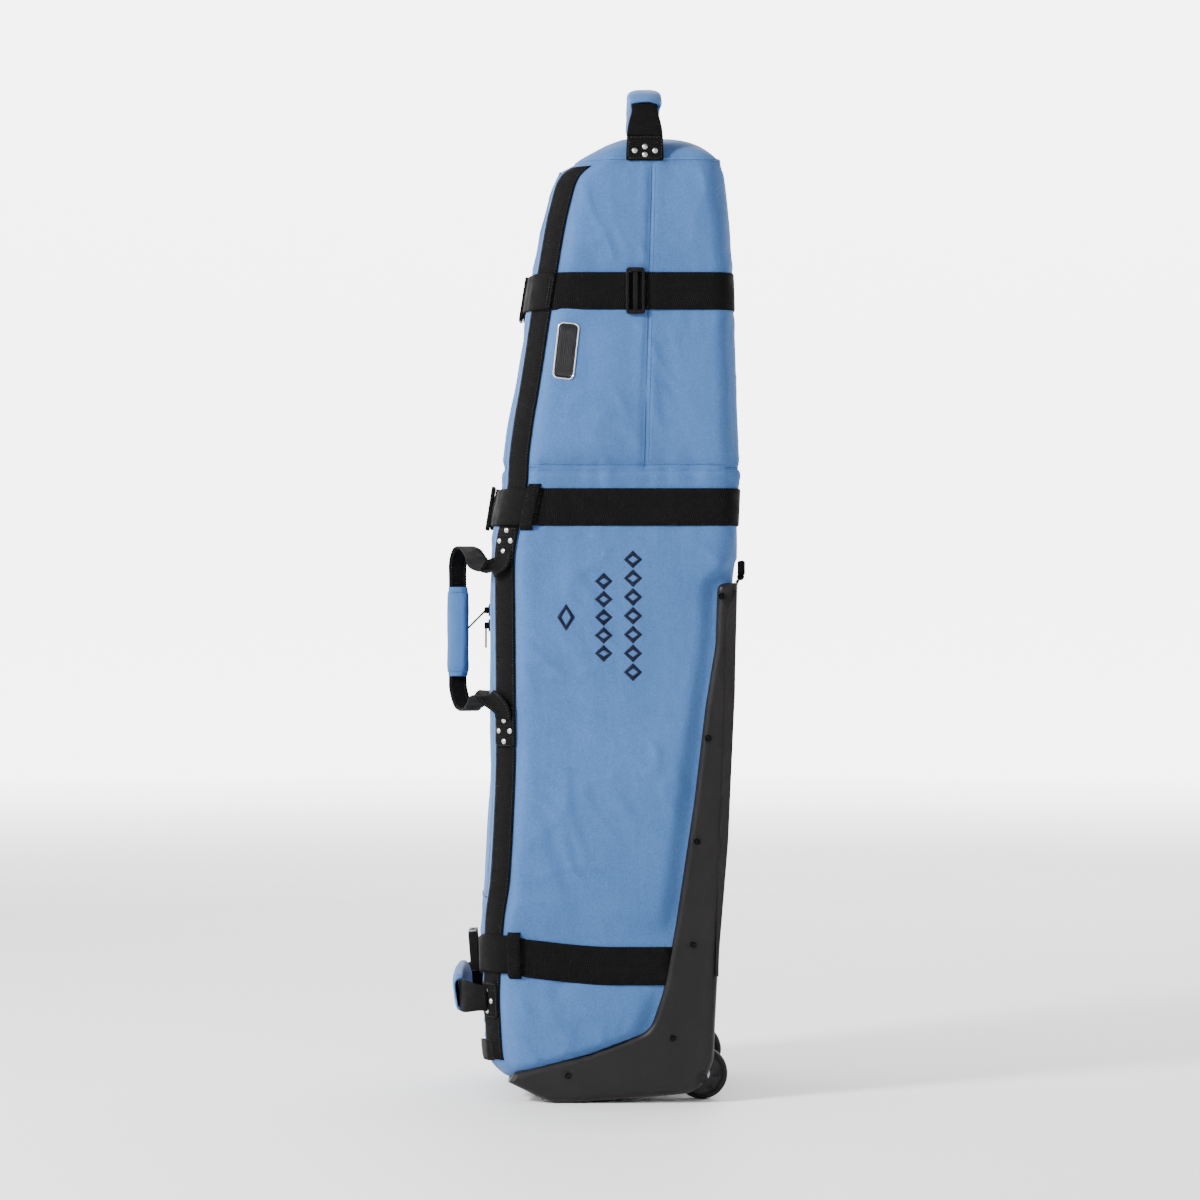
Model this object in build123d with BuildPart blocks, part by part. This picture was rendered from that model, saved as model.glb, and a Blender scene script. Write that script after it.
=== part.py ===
"""Wheeled golf travel case, standing upright: a padded fabric body with a two-way front zip,
compression straps, carry handles, and a moulded base and back carrying two wheels.

Millimetres. +Z is up, -Y is the zipped front, +Y is the wheeled back, X runs across the width.
The origin is on the floor, under the middle of the bounding box.
"""
import os
from math import atan2, cos, degrees, hypot, radians, sin

from build123d import *

os.makedirs("parts", exist_ok=True)

# ---------------------------------------------------------------- driving dimensions
HALF_WIDTH = 178.0          # the bag's side panels stand this far from the middle
FRONT_CORNER = 60.0         # plan radius of the soft front corners
REAR_CORNER = 12.0          # plan radius of the back and top edges
WALL = 6.0                  # padded fabric wall
GAP = 0.3                   # clearance between layers
TRIM = 1.6                  # thickness of the webbing trim on the front corners
WEB = 2.0                   # thickness of strap and handle webbing
STRAP_IN = 2.2              # straps and handle tabs start this far off the fabric
STRAP_OUT = STRAP_IN + WEB
STRAP_WIDTH = 50.0

# side outline of the bag, as (y, z, bend radius), from the bottom front corner and up the front
FRONT_LINE = [(-144, 38, 55), (-160, 245, 300), (-144, 462, 400), (-144, 735, 300), (-59.5, 1264, 52)]
TOP_LINE = [(36, 1303, 150), (176, 1303, 30)]
REAR_LINE = [(188, 1115, 600), (196, 850, 300), (182, 692, 300), (168, 330, 600), (153, 130, 60)]
BOTTOM_LINE = [(66, 12, 60), (-62, 12, 150)]

# opening and front panels
HINGE_X = 141.0             # hinge lines of the two front panels
HINGE_Y = -145.5            # the hinge lines pass this far forward at HINGE_Z
HINGE_Z = 735.0
HINGE_LEAN = 0.1            # and lean back by this much for each unit of height
PANEL_EDGE = 139.4          # outer edge of a front panel
OPENING_LOW = 275.0
OPENING_HIGH = 1242.0
PANEL_GAP = 2.0             # gap round the panels, top and bottom

# strap heights (middle of each strap)
UPPER_STRAP_Z = 1083.0
MIDDLE_STRAP_Z = 795.0
LOWER_STRAP_Z = 190.0
STRAP_HEIGHTS = {"upper": UPPER_STRAP_Z, "middle": MIDDLE_STRAP_Z}

# moulded base and back
SHELL_OUT = 6.0             # the moulding's side flanges end this far outside the fabric
RAIL_OUT = 9.0              # the skid rails stand out to here
MOULD_TOP = 694.0
SCREWS = [(166, 676), (148, 487), (133, 349.5), (128, 212), (101, 88), (-38.5, 38)]
SCREW_R = 2.4
SCREW_HEAD_R = 4.6
SCREW_HEAD = 2.2            # height of a screw's head
WASHER_R = 4.5
WASHER = 1.5                # thickness of the washers inside
BORE_EXTRA = 0.1            # bores are this much larger, in radius, than what goes through them

# wheels
WHEEL_R = 35.0
WHEEL_WIDTH = 24.0
WHEEL_X = 130.0
AXLE_Y = 140.7
AXLE_Z = 35.0
AXLE_R = 4.0
RUNNING = 0.04              # radial clearance of the bearings on the axle
BEARING_R = 11.0
BEARING_WIDTH = 7.0
POCKET_R = 39.0
POCKET_HALF = 16.0          # half the width of a wheel pocket


def write(part, name):
    """Label one finished piece and write it as its own file."""
    part.label = name
    export_step(part, f"parts/{name}.step")


def front_y(z):
    """The bag's front, on the middle plane, at height z."""
    for (y0, z0, _), (y1, z1, _) in zip(FRONT_LINE, FRONT_LINE[1:]):
        if z <= z1:
            return y0 + (y1 - y0) * (z - z0) / (z1 - z0)
    return FRONT_LINE[-1][0]


def front_slope(z):
    """Lean of the front at height z, in degrees; positive leans back."""
    return degrees(atan2(front_y(z + 5) - front_y(z - 5), 10))


def middle_gap(z):
    """Half the gap that the panels' meeting edges need at height z, to swing past each other."""
    behind = front_y(z) - (HINGE_Y + HINGE_LEAN * (z - HINGE_Z)) + WALL
    return behind**2 / (2 * (HINGE_X - 1)) + 0.6


def gap_outline(extra):
    """The middle gap as an outline in X and Z, widened by a margin on each side."""
    heights = [OPENING_LOW + i * (OPENING_HIGH - OPENING_LOW) / 14 for i in range(15)]
    right = [(middle_gap(z) + extra, z) for z in heights]
    left = [(-x, z) for x, z in reversed(right)]
    return right + left + right[:1]


def front_plane(z, out=0.0):
    """A plane on the front face at height z: local x is +X, local y is up, normal is outward."""
    lean = radians(front_slope(z))
    normal = Vector(0, -cos(lean), sin(lean))
    return Plane(origin=Vector(0, front_y(z), z) + normal * out, x_dir=(1, 0, 0), z_dir=normal)


def side_plane(side, out):
    """A plane parallel to a side panel, its local x along +Y and local y along +Z."""
    return Plane(origin=(side * (HALF_WIDTH + out), 0, 0), x_dir=(0, 1, 0), z_dir=(1, 0, 0))


# ---------------------------------------------------------------- the bag's form and its layers
forms = {}


def bag_form(grow):
    """The bag's outer form, grown by a distance on every face."""
    if grow in forms:
        return forms[grow]
    outline = FRONT_LINE + TOP_LINE + REAR_LINE + BOTTOM_LINE
    with BuildPart() as block:
        with BuildSketch(Plane.YZ):
            with BuildLine():
                FilletPolyline(*[(y, z) for y, z, _ in outline], radius=[r for _, _, r in outline], close=True)
            make_face()
            if grow:
                offset(amount=grow, kind=Kind.INTERSECTION)
        extrude(amount=HALF_WIDTH + grow, both=True)
        rims = block.faces().filter_by(Axis.X).edges()
        fillet(rims, radius=REAR_CORNER + grow)
    bends = FRONT_LINE[1:-1]
    low_y, high_y = front_y(-200), front_y(1200) + (front_y(1200) - front_y(1100)) * 3
    with BuildPart() as column:
        with BuildSketch(Plane.YZ):
            with BuildLine():
                face_line = FilletPolyline(
                    (low_y, -200),
                    *[(y, z) for y, z, _ in bends],
                    (high_y, 1500),
                    radius=[r for _, _, r in bends],
                )
                Polyline(face_line @ 1, (400, 1500), (400, -200), face_line @ 0)
            make_face()
            if grow:
                offset(amount=grow, kind=Kind.INTERSECTION)
        extrude(amount=HALF_WIDTH + grow, both=True)
        rims = column.faces().filter_by(Axis.X).edges().filter_by(lambda e: e.center().Y < -20)
        fillet(rims, radius=FRONT_CORNER + grow)
    with BuildPart() as form:
        add(block.part)
        add(column.part, mode=Mode.INTERSECT)
    forms[grow] = form.part
    return form.part


def layer(inner, outer):
    """A sheet that follows the bag between two distances from the fabric."""
    with BuildPart() as sheet:
        add(bag_form(outer))
        add(bag_form(inner), mode=Mode.SUBTRACT)
    return sheet.part


def span_box(x0, x1, y0, y1, z0, z1, mode=Mode.INTERSECT):
    """A box given by its limits, for cutting a layer to size."""
    with Locations(((x0 + x1) / 2, (y0 + y1) / 2, (z0 + z1) / 2)):
        Box(x1 - x0, y1 - y0, z1 - z0, mode=mode)


wall_layer = layer(-WALL, 0)
trim_layer = layer(GAP, GAP + TRIM)
strap_layer = layer(STRAP_IN, STRAP_OUT)

# ---------------------------------------------------------------- bag shell, boards and pad
with BuildPart() as bag_shell:
    add(wall_layer)
    span_box(-HINGE_X, HINGE_X, -300, -20, OPENING_LOW, OPENING_HIGH, mode=Mode.SUBTRACT)
    for side in (-1, 1):
        with BuildSketch(side_plane(side, -WALL / 2)):
            with Locations(*SCREWS):
                Circle(SCREW_R + BORE_EXTRA)
        extrude(amount=WALL, both=True, mode=Mode.SUBTRACT)
write(bag_shell.part, "bag_shell")

BOARD = 3.0
with BuildPart() as back_board:
    add(bag_form(-WALL - GAP))
    add(bag_form(-WALL - GAP - BOARD), mode=Mode.SUBTRACT)
    span_box(-135, 135, 100, 260, 150, 655)
write(back_board.part, "back_board")

with BuildPart() as base_board:
    span_box(-150, 150, -36, 32, 12 + WALL + GAP, 12 + WALL + GAP + 4, mode=Mode.ADD)
    fillet(base_board.edges().filter_by(Axis.Z), radius=20)
write(base_board.part, "base_board")

with BuildPart() as top_foam_pad:
    add(bag_form(-WALL - GAP))
    span_box(-150, 150, -10, 150, 1258, 1303)
write(top_foam_pad.part, "top_foam_pad")

# ---------------------------------------------------------------- moulded base and back
# the side flange's front edge from the toe to its top corner, the back edge downwards, and the sole
FLANGE_EDGE = [(-110, 41, 6), (-9, 67, 60), (70, 97, 34), (88, 150, 200), (104, 237, 300), (129, 404, 400)]
FLANGE_TOP = [(144, 530, 200), (157, 610, 60), (160, MOULD_TOP, 10)]
BACK_TOP = (188, MOULD_TOP)
BACK_EDGE = [(184, 548, 400), (175, 350, 500), (163, 204, 400), (158, 110, 300), (156, 58, 36)]
SOLE = [(138, 14, 36), (20, 4, 200), (-30, 0, 60), (-62, 0, 50), (-92, 15, 60)]
TOE = (-119, 28)
RIDGE_LINE = [(186, 684, 0), (173, 655, 20), (170, 518, 400), (166, 404, 400), (161, 293, 300), (158, 170, 0)]
RIB_X = (-60, 0, 60)
RIB_WIDTH = 12.0
RIB_OUT = 2.5


def bent_line(points, start=None, end=None):
    """A line through points given as (y, z, bend radius), between two sharp ends."""
    path = ([start] if start else []) + [(y, z) for y, z, _ in points] + ([end] if end else [])
    FilletPolyline(*path, radius=[r for _, _, r in points])


def moulding_block(half, round_r, back_out=0.0):
    """The moulding's side outline, extruded both ways and rounded along its back and sole."""
    with BuildPart() as block:
        with BuildSketch(Plane.YZ):
            with BuildLine():
                back = [(y + back_out, z, r) for y, z, r in BACK_EDGE]
                bent_line(back + SOLE, start=(BACK_TOP[0] + back_out, BACK_TOP[1]), end=TOE)
                bent_line(FLANGE_EDGE + FLANGE_TOP, start=TOE, end=(BACK_TOP[0] + back_out, BACK_TOP[1]))
            make_face()
        extrude(amount=half, both=True)
        if round_r:
            rims = block.faces().filter_by(Axis.X).edges()
            flange = [(y, z) for y, z, _ in FLANGE_EDGE + FLANGE_TOP]
            behind = rims.filter_by(lambda e: e.center().Y > rear_limit(e.center().Z) or e.center().Z < 20)
            fillet(behind, radius=round_r)
    return block.part


def rear_limit(z):
    """A line between the flange's front edge and the back edge."""
    return 175 if z > 620 else 130 + (z - 50) * 0.075


with BuildPart() as base_shell:
    add(moulding_block(HALF_WIDTH + SHELL_OUT, 10))
    # skid rails: the corners of the back stand out a little behind the ridge line
    with BuildSketch(Plane.YZ):
        with BuildLine():
            bent_line(RIDGE_LINE[1:-1], start=RIDGE_LINE[0][:2], end=RIDGE_LINE[-1][:2])
            bent_line(BACK_EDGE[:3], start=RIDGE_LINE[0][:2], end=(162, 170))
            Line((162, 170), RIDGE_LINE[-1][:2])
        make_face()
    extrude(amount=HALF_WIDTH + RAIL_OUT, both=True)
    # stiffening ribs down the back
    for x in RIB_X:
        with BuildSketch(Plane.YZ.offset(x)):
            with BuildLine():
                Polyline((150, 130), (158 + RIB_OUT, 130), (163 + RIB_OUT, 204), (175 + RIB_OUT, 350))
                Polyline((175 + RIB_OUT, 350), (184 + RIB_OUT, 548), (187 + RIB_OUT, 650), (150, 650), (150, 130))
            make_face()
        extrude(amount=RIB_WIDTH / 2, both=True)
    add(bag_form(GAP), mode=Mode.SUBTRACT)
    # wheel pockets, and a recess in the boot between them, open downwards
    with BuildSketch(Plane.YZ.offset(WHEEL_X), Plane.YZ.offset(-WHEEL_X)):
        with Locations((AXLE_Y, AXLE_Z)):
            Circle(POCKET_R)
    extrude(amount=POCKET_HALF, both=True, mode=Mode.SUBTRACT)
    with BuildSketch(Plane.YZ):
        with BuildLine():
            Polyline((84, -10), (84, 26), (140, 101), (150, 101), (150, 44), (134, -10), (84, -10))
        make_face()
    extrude(amount=WHEEL_X - POCKET_HALF - 4, both=True, mode=Mode.SUBTRACT)
    with BuildSketch(Plane.YZ):
        with Locations((AXLE_Y, AXLE_Z)):
            Circle(AXLE_R + BORE_EXTRA)
        with Locations(*SCREWS):
            Circle(SCREW_R + BORE_EXTRA)
    extrude(amount=HALF_WIDTH + 40, both=True, mode=Mode.SUBTRACT)
write(base_shell.part, "base_shell")

with BuildPart() as base_screws:
    for side in (-1, 1):
        for y, z in SCREWS:
            out = RAIL_OUT if y > 160 else SHELL_OUT
            with BuildSketch(side_plane(side, out)):
                with Locations((y, z)):
                    Circle(SCREW_HEAD_R)
            extrude(amount=side * SCREW_HEAD)
            with BuildSketch(side_plane(side, out)):
                with Locations((y, z)):
                    Circle(SCREW_R)
            extrude(amount=-side * (out + WALL + 2.4))
    for side in (-1, 1):
        for y, z in SCREWS:
            out = RAIL_OUT if y > 160 else SHELL_OUT
            with BuildSketch(side_plane(side, out + SCREW_HEAD)):
                with Locations((y, z)):
                    RegularPolygon(1.6, 6)
            extrude(amount=-side * 1.4, mode=Mode.SUBTRACT)
write(base_screws.part, "base_screws")

with BuildPart() as backing_washers:
    for side in (-1, 1):
        with BuildSketch(side_plane(side, -WALL - GAP)):
            with Locations(*SCREWS):
                Circle(WASHER_R)
                Circle(SCREW_R + BORE_EXTRA, mode=Mode.SUBTRACT)
        extrude(amount=-side * WASHER)
write(backing_washers.part, "backing_washers")

# ---------------------------------------------------------------- wheels
AXLE_IN = WHEEL_X - POCKET_HALF - 6
with BuildPart() as wheel_axles:
    for side in (-1, 1):
        with BuildSketch(Plane.YZ.offset(side * AXLE_IN)):
            with Locations((AXLE_Y, AXLE_Z)):
                Circle(AXLE_R)
        extrude(amount=side * (HALF_WIDTH + SHELL_OUT - AXLE_IN))
        with BuildSketch(Plane.YZ.offset(side * (HALF_WIDTH + SHELL_OUT))):
            with Locations((AXLE_Y, AXLE_Z)):
                Circle(7.0)
        extrude(amount=side * 2.4)
write(wheel_axles.part, "wheel_axles")

for side, word in ((-1, "left"), (1, "right")):
    wheel_plane = Plane(origin=(side * WHEEL_X, AXLE_Y, AXLE_Z), x_dir=(0, 1, 0), z_dir=(1, 0, 0))
    with BuildPart() as tyre:
        with BuildSketch(wheel_plane):
            Circle(WHEEL_R)
            Circle(WHEEL_R - 8, mode=Mode.SUBTRACT)
        extrude(amount=WHEEL_WIDTH / 2, both=True)
        crown = tyre.edges().filter_by(GeomType.CIRCLE).filter_by(lambda e: e.radius > WHEEL_R - 1)
        fillet(crown, radius=7.5)
    write(tyre.part, f"wheel_tyre_{word}")
    with BuildPart() as core:
        with BuildSketch(wheel_plane):
            Circle(WHEEL_R - 8)
            Circle(BEARING_R, mode=Mode.SUBTRACT)
        extrude(amount=9, both=True)
        with BuildSketch(wheel_plane.offset(9), wheel_plane.offset(-9)):
            with PolarLocations((BEARING_R + WHEEL_R - 8) / 2, 6):
                Circle(5.2)
        extrude(amount=3.5, both=True, mode=Mode.SUBTRACT)
    write(core.part, f"wheel_core_{word}")
    with BuildPart() as bearings:
        with BuildSketch(wheel_plane.offset(5.5), wheel_plane.offset(-5.5)):
            Circle(BEARING_R)
            Circle(AXLE_R + RUNNING, mode=Mode.SUBTRACT)
        extrude(amount=BEARING_WIDTH / 2, both=True)
        with BuildSketch(wheel_plane.offset(9), wheel_plane.offset(-9)):
            Circle(9.2)
            Circle(6.2, mode=Mode.SUBTRACT)
        extrude(amount=0.6, both=True, mode=Mode.SUBTRACT)
    write(bearings.part, f"wheel_bearings_{word}")

# ---------------------------------------------------------------- webbing trim down the front corners
# the trim's two edges as (x, z): upright beside the opening, and drawn to the front below it
TRIM_INNER = [(149.0, 1250.0), (149.0, 300.0), (134.0, 120.0), (134.0, 55.0)]
TRIM_OUTER = [(172.4, 1250.0), (172.4, 300.0), (165.0, 120.0), (165.0, 55.0)]
for side, word in ((-1, "left"), (1, "right")):
    outline = [(side * x, z) for x, z in TRIM_INNER + TRIM_OUTER[::-1]]
    with BuildPart() as side_trim:
        add(trim_layer)
        with BuildSketch(Plane.XZ.offset(10)):
            with BuildLine():
                Polyline(*outline, close=True)
            make_face()
        extrude(amount=250, mode=Mode.INTERSECT)
    write(side_trim.part, f"side_trim_{word}")

FOOT_X = 142.0
FOOT_WIDTH = 22.0
FOOT_LOW = 54.0
FOOT_TALL = 27.0
FOOT_OUT = 10.0
with BuildPart() as front_feet:
    add(layer(STRAP_IN, FOOT_OUT))
    with BuildSketch(Plane.XY.offset(FOOT_LOW)):
        with Locations((-FOOT_X, -140), (FOOT_X, -140)):
            Rectangle(FOOT_WIDTH, 60)
    extrude(amount=FOOT_TALL, mode=Mode.INTERSECT)
write(front_feet.part, "front_feet")

# ---------------------------------------------------------------- compression straps
for height, z in STRAP_HEIGHTS.items():
    with BuildPart() as strap:
        add(strap_layer)
        span_box(-300, 300, -300, 300, z - STRAP_WIDTH / 2, z + STRAP_WIDTH / 2)
        span_box(-HINGE_X - 1, HINGE_X + 1, -300, -20, z - 40, z + 40, mode=Mode.SUBTRACT)
    write(strap.part, f"{height}_strap_rear")
    for side, word in ((-1, "left"), (1, "right")):
        near, far = sorted((side * 3.0, side * PANEL_EDGE))
        with BuildPart() as strap:
            add(strap_layer)
            span_box(near, far, -300, -20, z - STRAP_WIDTH / 2, z + STRAP_WIDTH / 2)
        write(strap.part, f"{height}_strap_{word}")

for side, word in ((-1, "left"), (1, "right")):
    near, far = sorted((side * 6.0, side * 250))
    with BuildPart() as strap:
        add(strap_layer)
        span_box(near, far, -300, 101, LOWER_STRAP_Z - STRAP_WIDTH / 2, LOWER_STRAP_Z + STRAP_WIDTH / 2)
        add(moulding_block(HALF_WIDTH + 20, 0), mode=Mode.SUBTRACT)
    write(strap.part, f"lower_strap_{word}")

LAP_BASE = (STRAP_OUT + GAP, 5.0)        # distance off the fabric, and thickness
LAP_LATCH = (STRAP_OUT + 1.1 + 5.0, 4.6)
LAP_HEIGHT = 61.0
for height, z in STRAP_HEIGHTS.items():
    with BuildPart() as lap_base:
        with BuildSketch(front_plane(z, LAP_BASE[0])):
            with Locations((-20, 0)):
                RectangleRounded(38, LAP_HEIGHT - 4, 4)
            with Locations((-33.5, 0)):
                RectangleRounded(3.2, STRAP_WIDTH + 2, 1.4, mode=Mode.SUBTRACT)
        extrude(amount=LAP_BASE[1])
        fillet(lap_base.faces().sort_by(Axis.Y)[0].outer_wire().edges(), radius=1.0)
    write(lap_base.part, f"{height}_buckle_base")
    with BuildPart() as lap_latch:
        with BuildSketch(front_plane(z, LAP_LATCH[0])):
            with Locations((4, 0)):
                RectangleRounded(52, LAP_HEIGHT, 5)
            with Locations((20, 0), (-10, 0)):
                RectangleRounded(5, STRAP_WIDTH - 8, 2.4, mode=Mode.SUBTRACT)
        extrude(amount=LAP_LATCH[1])
        fillet(lap_latch.faces().sort_by(Axis.Y)[0].outer_wire().edges(), radius=1.2)
    write(lap_latch.part, f"{height}_buckle_latch")

BUCKLE_OUT = STRAP_OUT + 4.0
BUCKLE_DEEP = 11.0
BUCKLE_TALL = 54.0
lower_plane = front_plane(LOWER_STRAP_Z, BUCKLE_OUT)
with BuildPart() as lower_buckle_socket:
    with BuildSketch(lower_plane):
        with Locations((-17, 0)):
            RectangleRounded(38, BUCKLE_TALL, 5)
    extrude(amount=BUCKLE_DEEP)
    with BuildSketch(lower_plane.offset(3)):
        with Locations((-10, 0)):
            Rectangle(33, BUCKLE_TALL - 8)
    extrude(amount=BUCKLE_DEEP - 6, mode=Mode.SUBTRACT)
    with BuildSketch(lower_plane.offset(3)):
        with Locations((-14, 0)):
            Rectangle(12, BUCKLE_TALL + 2)
    extrude(amount=BUCKLE_DEEP - 6, mode=Mode.SUBTRACT)
write(lower_buckle_socket.part, "lower_buckle_socket")

with BuildPart() as lower_buckle_plug:
    with BuildSketch(lower_plane.offset(3.4)):
        with Locations((12, 0)):
            Rectangle(18, BUCKLE_TALL - 9)
        for up in (-1, 1):
            with Locations((-5, up * 18.5)):
                RectangleRounded(26, 7, 2)
        with Locations((-2, 0)):
            Rectangle(16, 5)
    extrude(amount=BUCKLE_DEEP - 6.8)
    with BuildSketch(lower_plane):
        with Locations((20, 0)):
            RectangleRounded(30, BUCKLE_TALL, 4)
        with Locations((24, 0)):
            RectangleRounded(4, STRAP_WIDTH - 4, 1.8, mode=Mode.SUBTRACT)
    extrude(amount=BUCKLE_DEEP)
write(lower_buckle_plug.part, "lower_buckle_plug")

with BuildPart() as tri_glide:
    with BuildSketch(side_plane(1, STRAP_OUT + GAP)):
        with Locations((51.5, UPPER_STRAP_Z)):
            RectangleRounded(25, 62, 4)
        with Locations((45.5, UPPER_STRAP_Z), (57.5, UPPER_STRAP_Z)):
            RectangleRounded(6, STRAP_WIDTH + 1, 2, mode=Mode.SUBTRACT)
    extrude(amount=4.0)
    fillet(tri_glide.faces().sort_by(Axis.X)[-1].outer_wire().edges(), radius=1.2)
write(tri_glide.part, "strap_tri_glide")

KEEPERS = ((-88.0, MIDDLE_STRAP_Z), (-124.0, LOWER_STRAP_Z))     # centre (y, z) of each pair
KEEPER_WIDTH = 14.0
KEEPER = 1.6                # thickness of a keeper
with BuildPart() as strap_keepers:
    with BuildSketch(Plane.YZ):
        with Locations(*KEEPERS):
            Rectangle(KEEPER_WIDTH, STRAP_WIDTH + 6)
    extrude(amount=HALF_WIDTH + 9, both=True)
    add(layer(STRAP_OUT + GAP, STRAP_OUT + GAP + KEEPER), mode=Mode.INTERSECT)
write(strap_keepers.part, "strap_keepers")

# ---------------------------------------------------------------- front panels and zip
TOOTH_WIDTH = 2.4


def cut_gap(extra, mode):
    """Cut the middle gap's outline through the front, or keep only what is inside it."""
    with BuildSketch(Plane.XZ.offset(20)) as gap:
        with BuildLine():
            Polyline(*gap_outline(extra))
        make_face()
    extrude(gap.sketch, amount=260, mode=mode)


for side, word in ((-1, "left"), (1, "right")):
    near, far = sorted((side * 0.6, side * PANEL_EDGE))
    with BuildPart() as front_panel:
        add(wall_layer)
        span_box(near, far, -300, -20, OPENING_LOW + PANEL_GAP, OPENING_HIGH - PANEL_GAP)
        cut_gap(0, Mode.SUBTRACT)
    write(front_panel.part, f"front_panel_{word}")
    near, far = sorted((side * 0.6, side * 24.0))
    with BuildPart() as zip_tape:
        add(trim_layer)
        span_box(near, far, -300, -20, OPENING_LOW + 6, OPENING_HIGH - 6)
        cut_gap(TOOTH_WIDTH, Mode.SUBTRACT)
    write(zip_tape.part, f"zip_tape_{word}")
    with BuildPart() as zip_teeth:
        add(trim_layer)
        span_box(near, far, -300, -20, OPENING_LOW + 6, OPENING_HIGH - 6)
        cut_gap(TOOTH_WIDTH, Mode.INTERSECT)
        cut_gap(0, Mode.SUBTRACT)
    write(zip_teeth.part, f"zip_teeth_{word}")

SLIDER_OUT = STRAP_IN + 0.8      # the sliders ride just off the teeth
SLIDER_LENGTH = 17.0
BAIL_OUT = SLIDER_OUT + 3.0
SLIDERS = {"upper": (657.0, 45.0, 36.0), "lower": (636.0, 0.0, 31.0)}   # height, pull angle, pull length
PIN_OUT = BAIL_OUT + 3.4
for name, (z, angle, length) in SLIDERS.items():
    face = Plane(origin=(0, front_y(z) - SLIDER_OUT, z), x_dir=(1, 0, 0), z_dir=(0, -1, 0))
    with BuildPart() as slider:
        with BuildSketch(face):
            RectangleRounded(11, SLIDER_LENGTH, 4.5)
        extrude(amount=3.0)
        with BuildSketch(Plane.YZ.offset(-3.6), Plane.YZ.offset(3.6)):
            with Locations((front_y(z) - BAIL_OUT - 2.4, z)):
                Rectangle(6.0, 9.0)
        extrude(amount=0.9, both=True)
        with BuildSketch(Plane.YZ):
            with Locations((front_y(z) - PIN_OUT, z)):
                Circle(1.0)
        extrude(amount=4.0, both=True)
    write(slider.part, f"{name}_zip_slider")
    pin = Vector(0, front_y(z) - PIN_OUT, z)
    out = Vector(0, -sin(radians(angle)), -cos(radians(angle)))
    pull_plane = Plane(origin=pin, x_dir=(1, 0, 0), z_dir=Vector(1, 0, 0).cross(out))
    reach = 1 if pull_plane.y_dir.dot(out) > 0 else -1
    with BuildPart() as pull:
        with BuildSketch(pull_plane):
            with Locations((0, reach * length / 2)):
                RectangleRounded(4.6, length, 2.2)
        extrude(amount=0.9, both=True)
        with BuildSketch(Plane.YZ):
            with Locations((pin.Y, pin.Z)):
                Circle(2.1)
        extrude(amount=2.3, both=True)
        with BuildSketch(Plane.YZ):
            with Locations((pin.Y, pin.Z)):
                Circle(1.05)
        extrude(amount=2.4, both=True, mode=Mode.SUBTRACT)
    write(pull.part, f"{name}_zip_pull")

# ---------------------------------------------------------------- centre carry handle
GRIP_X = 10.0
GRIP_Y = -192.0
LEG_END = (114.0, -157.0)        # plan position where each loop's legs reach the panel
LOOP_LENGTH = hypot(LEG_END[0] - GRIP_X, LEG_END[1] - GRIP_Y)
LOOP_WEB = 3.6
LOOP_HALF = 12.0                 # half the width of the rolled loop webbing
GRIP_LOW = 567.0
GRIP_HIGH = 688.0
LEG_HIGH = 724.0
LEG_LOW = 537.0
LOOP_ROUTE = [(60, 744, 40), (0, 734, 30), (0, 543, 30), (60, 522, 40)]
for side, word in ((-1, "left"), (1, "right")):
    along = Vector(side * (LEG_END[0] - GRIP_X), LEG_END[1] - GRIP_Y, 0).normalized()
    loop_plane = Plane(origin=(side * GRIP_X, GRIP_Y, 0), x_dir=along, z_dir=along.cross(Vector(0, 0, 1)))
    with BuildPart() as carry_loop:
        with BuildSketch(loop_plane):
            with BuildLine() as route:
                FilletPolyline(
                    (LOOP_LENGTH, LEG_HIGH),
                    *[(u, z) for u, z, _ in LOOP_ROUTE],
                    (LOOP_LENGTH, LEG_LOW),
                    radius=[r for _, _, r in LOOP_ROUTE],
                )
                offset(route.line, amount=LOOP_WEB, side=Side.LEFT)
            make_face()
        extrude(amount=LOOP_HALF, both=True)
        for z in (LEG_HIGH + 6, LEG_LOW - 10):
            with BuildSketch(front_plane(z, STRAP_IN + 0.1)):
                with Locations((side * 121, 0)):
                    Rectangle(35, 30)
            extrude(amount=12)
        for z in (LEG_HIGH + 6, LEG_LOW - 10):
            with BuildSketch(front_plane(z, STRAP_OUT + 0.6)):
                with Locations((side * 128, 0)):
                    Rectangle(40, 40)
            extrude(amount=30, mode=Mode.SUBTRACT)
    write(carry_loop.part, f"carry_loop_{word}")
    near, far = sorted((side * 0.6, side * 21.0))
    with BuildPart() as grip:
        with BuildSketch(Plane.XY.offset(GRIP_LOW)):
            with Locations(((near + far) / 2, GRIP_Y)):
                RectangleRounded(far - near, 29.0, 6)
        extrude(amount=GRIP_HIGH - GRIP_LOW)
        add(carry_loop.part, mode=Mode.SUBTRACT)
    write(grip.part, f"carry_grip_{word}")

# handle tabs on the corner trims: the two edges' x, and their lowest and highest z
CARRY_TAB_X = (148.0, 173.6)
CARRY_TAB_Z = ((718.0, 769.0), (474.0, 530.0))
BOTTOM_TAB_X = (134.0, 165.0)
BOTTOM_TAB_Z = (110.0, 160.0)
with BuildPart() as carry_handle_tabs:
    for low, high in CARRY_TAB_Z:
        span_box(-CARRY_TAB_X[1], CARRY_TAB_X[1], -300, 0, low, high, mode=Mode.ADD)
    add(strap_layer, mode=Mode.INTERSECT)
    span_box(-CARRY_TAB_X[0], CARRY_TAB_X[0], -350, 350, 350, 850, mode=Mode.SUBTRACT)
write(carry_handle_tabs.part, "carry_handle_tabs")

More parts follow.
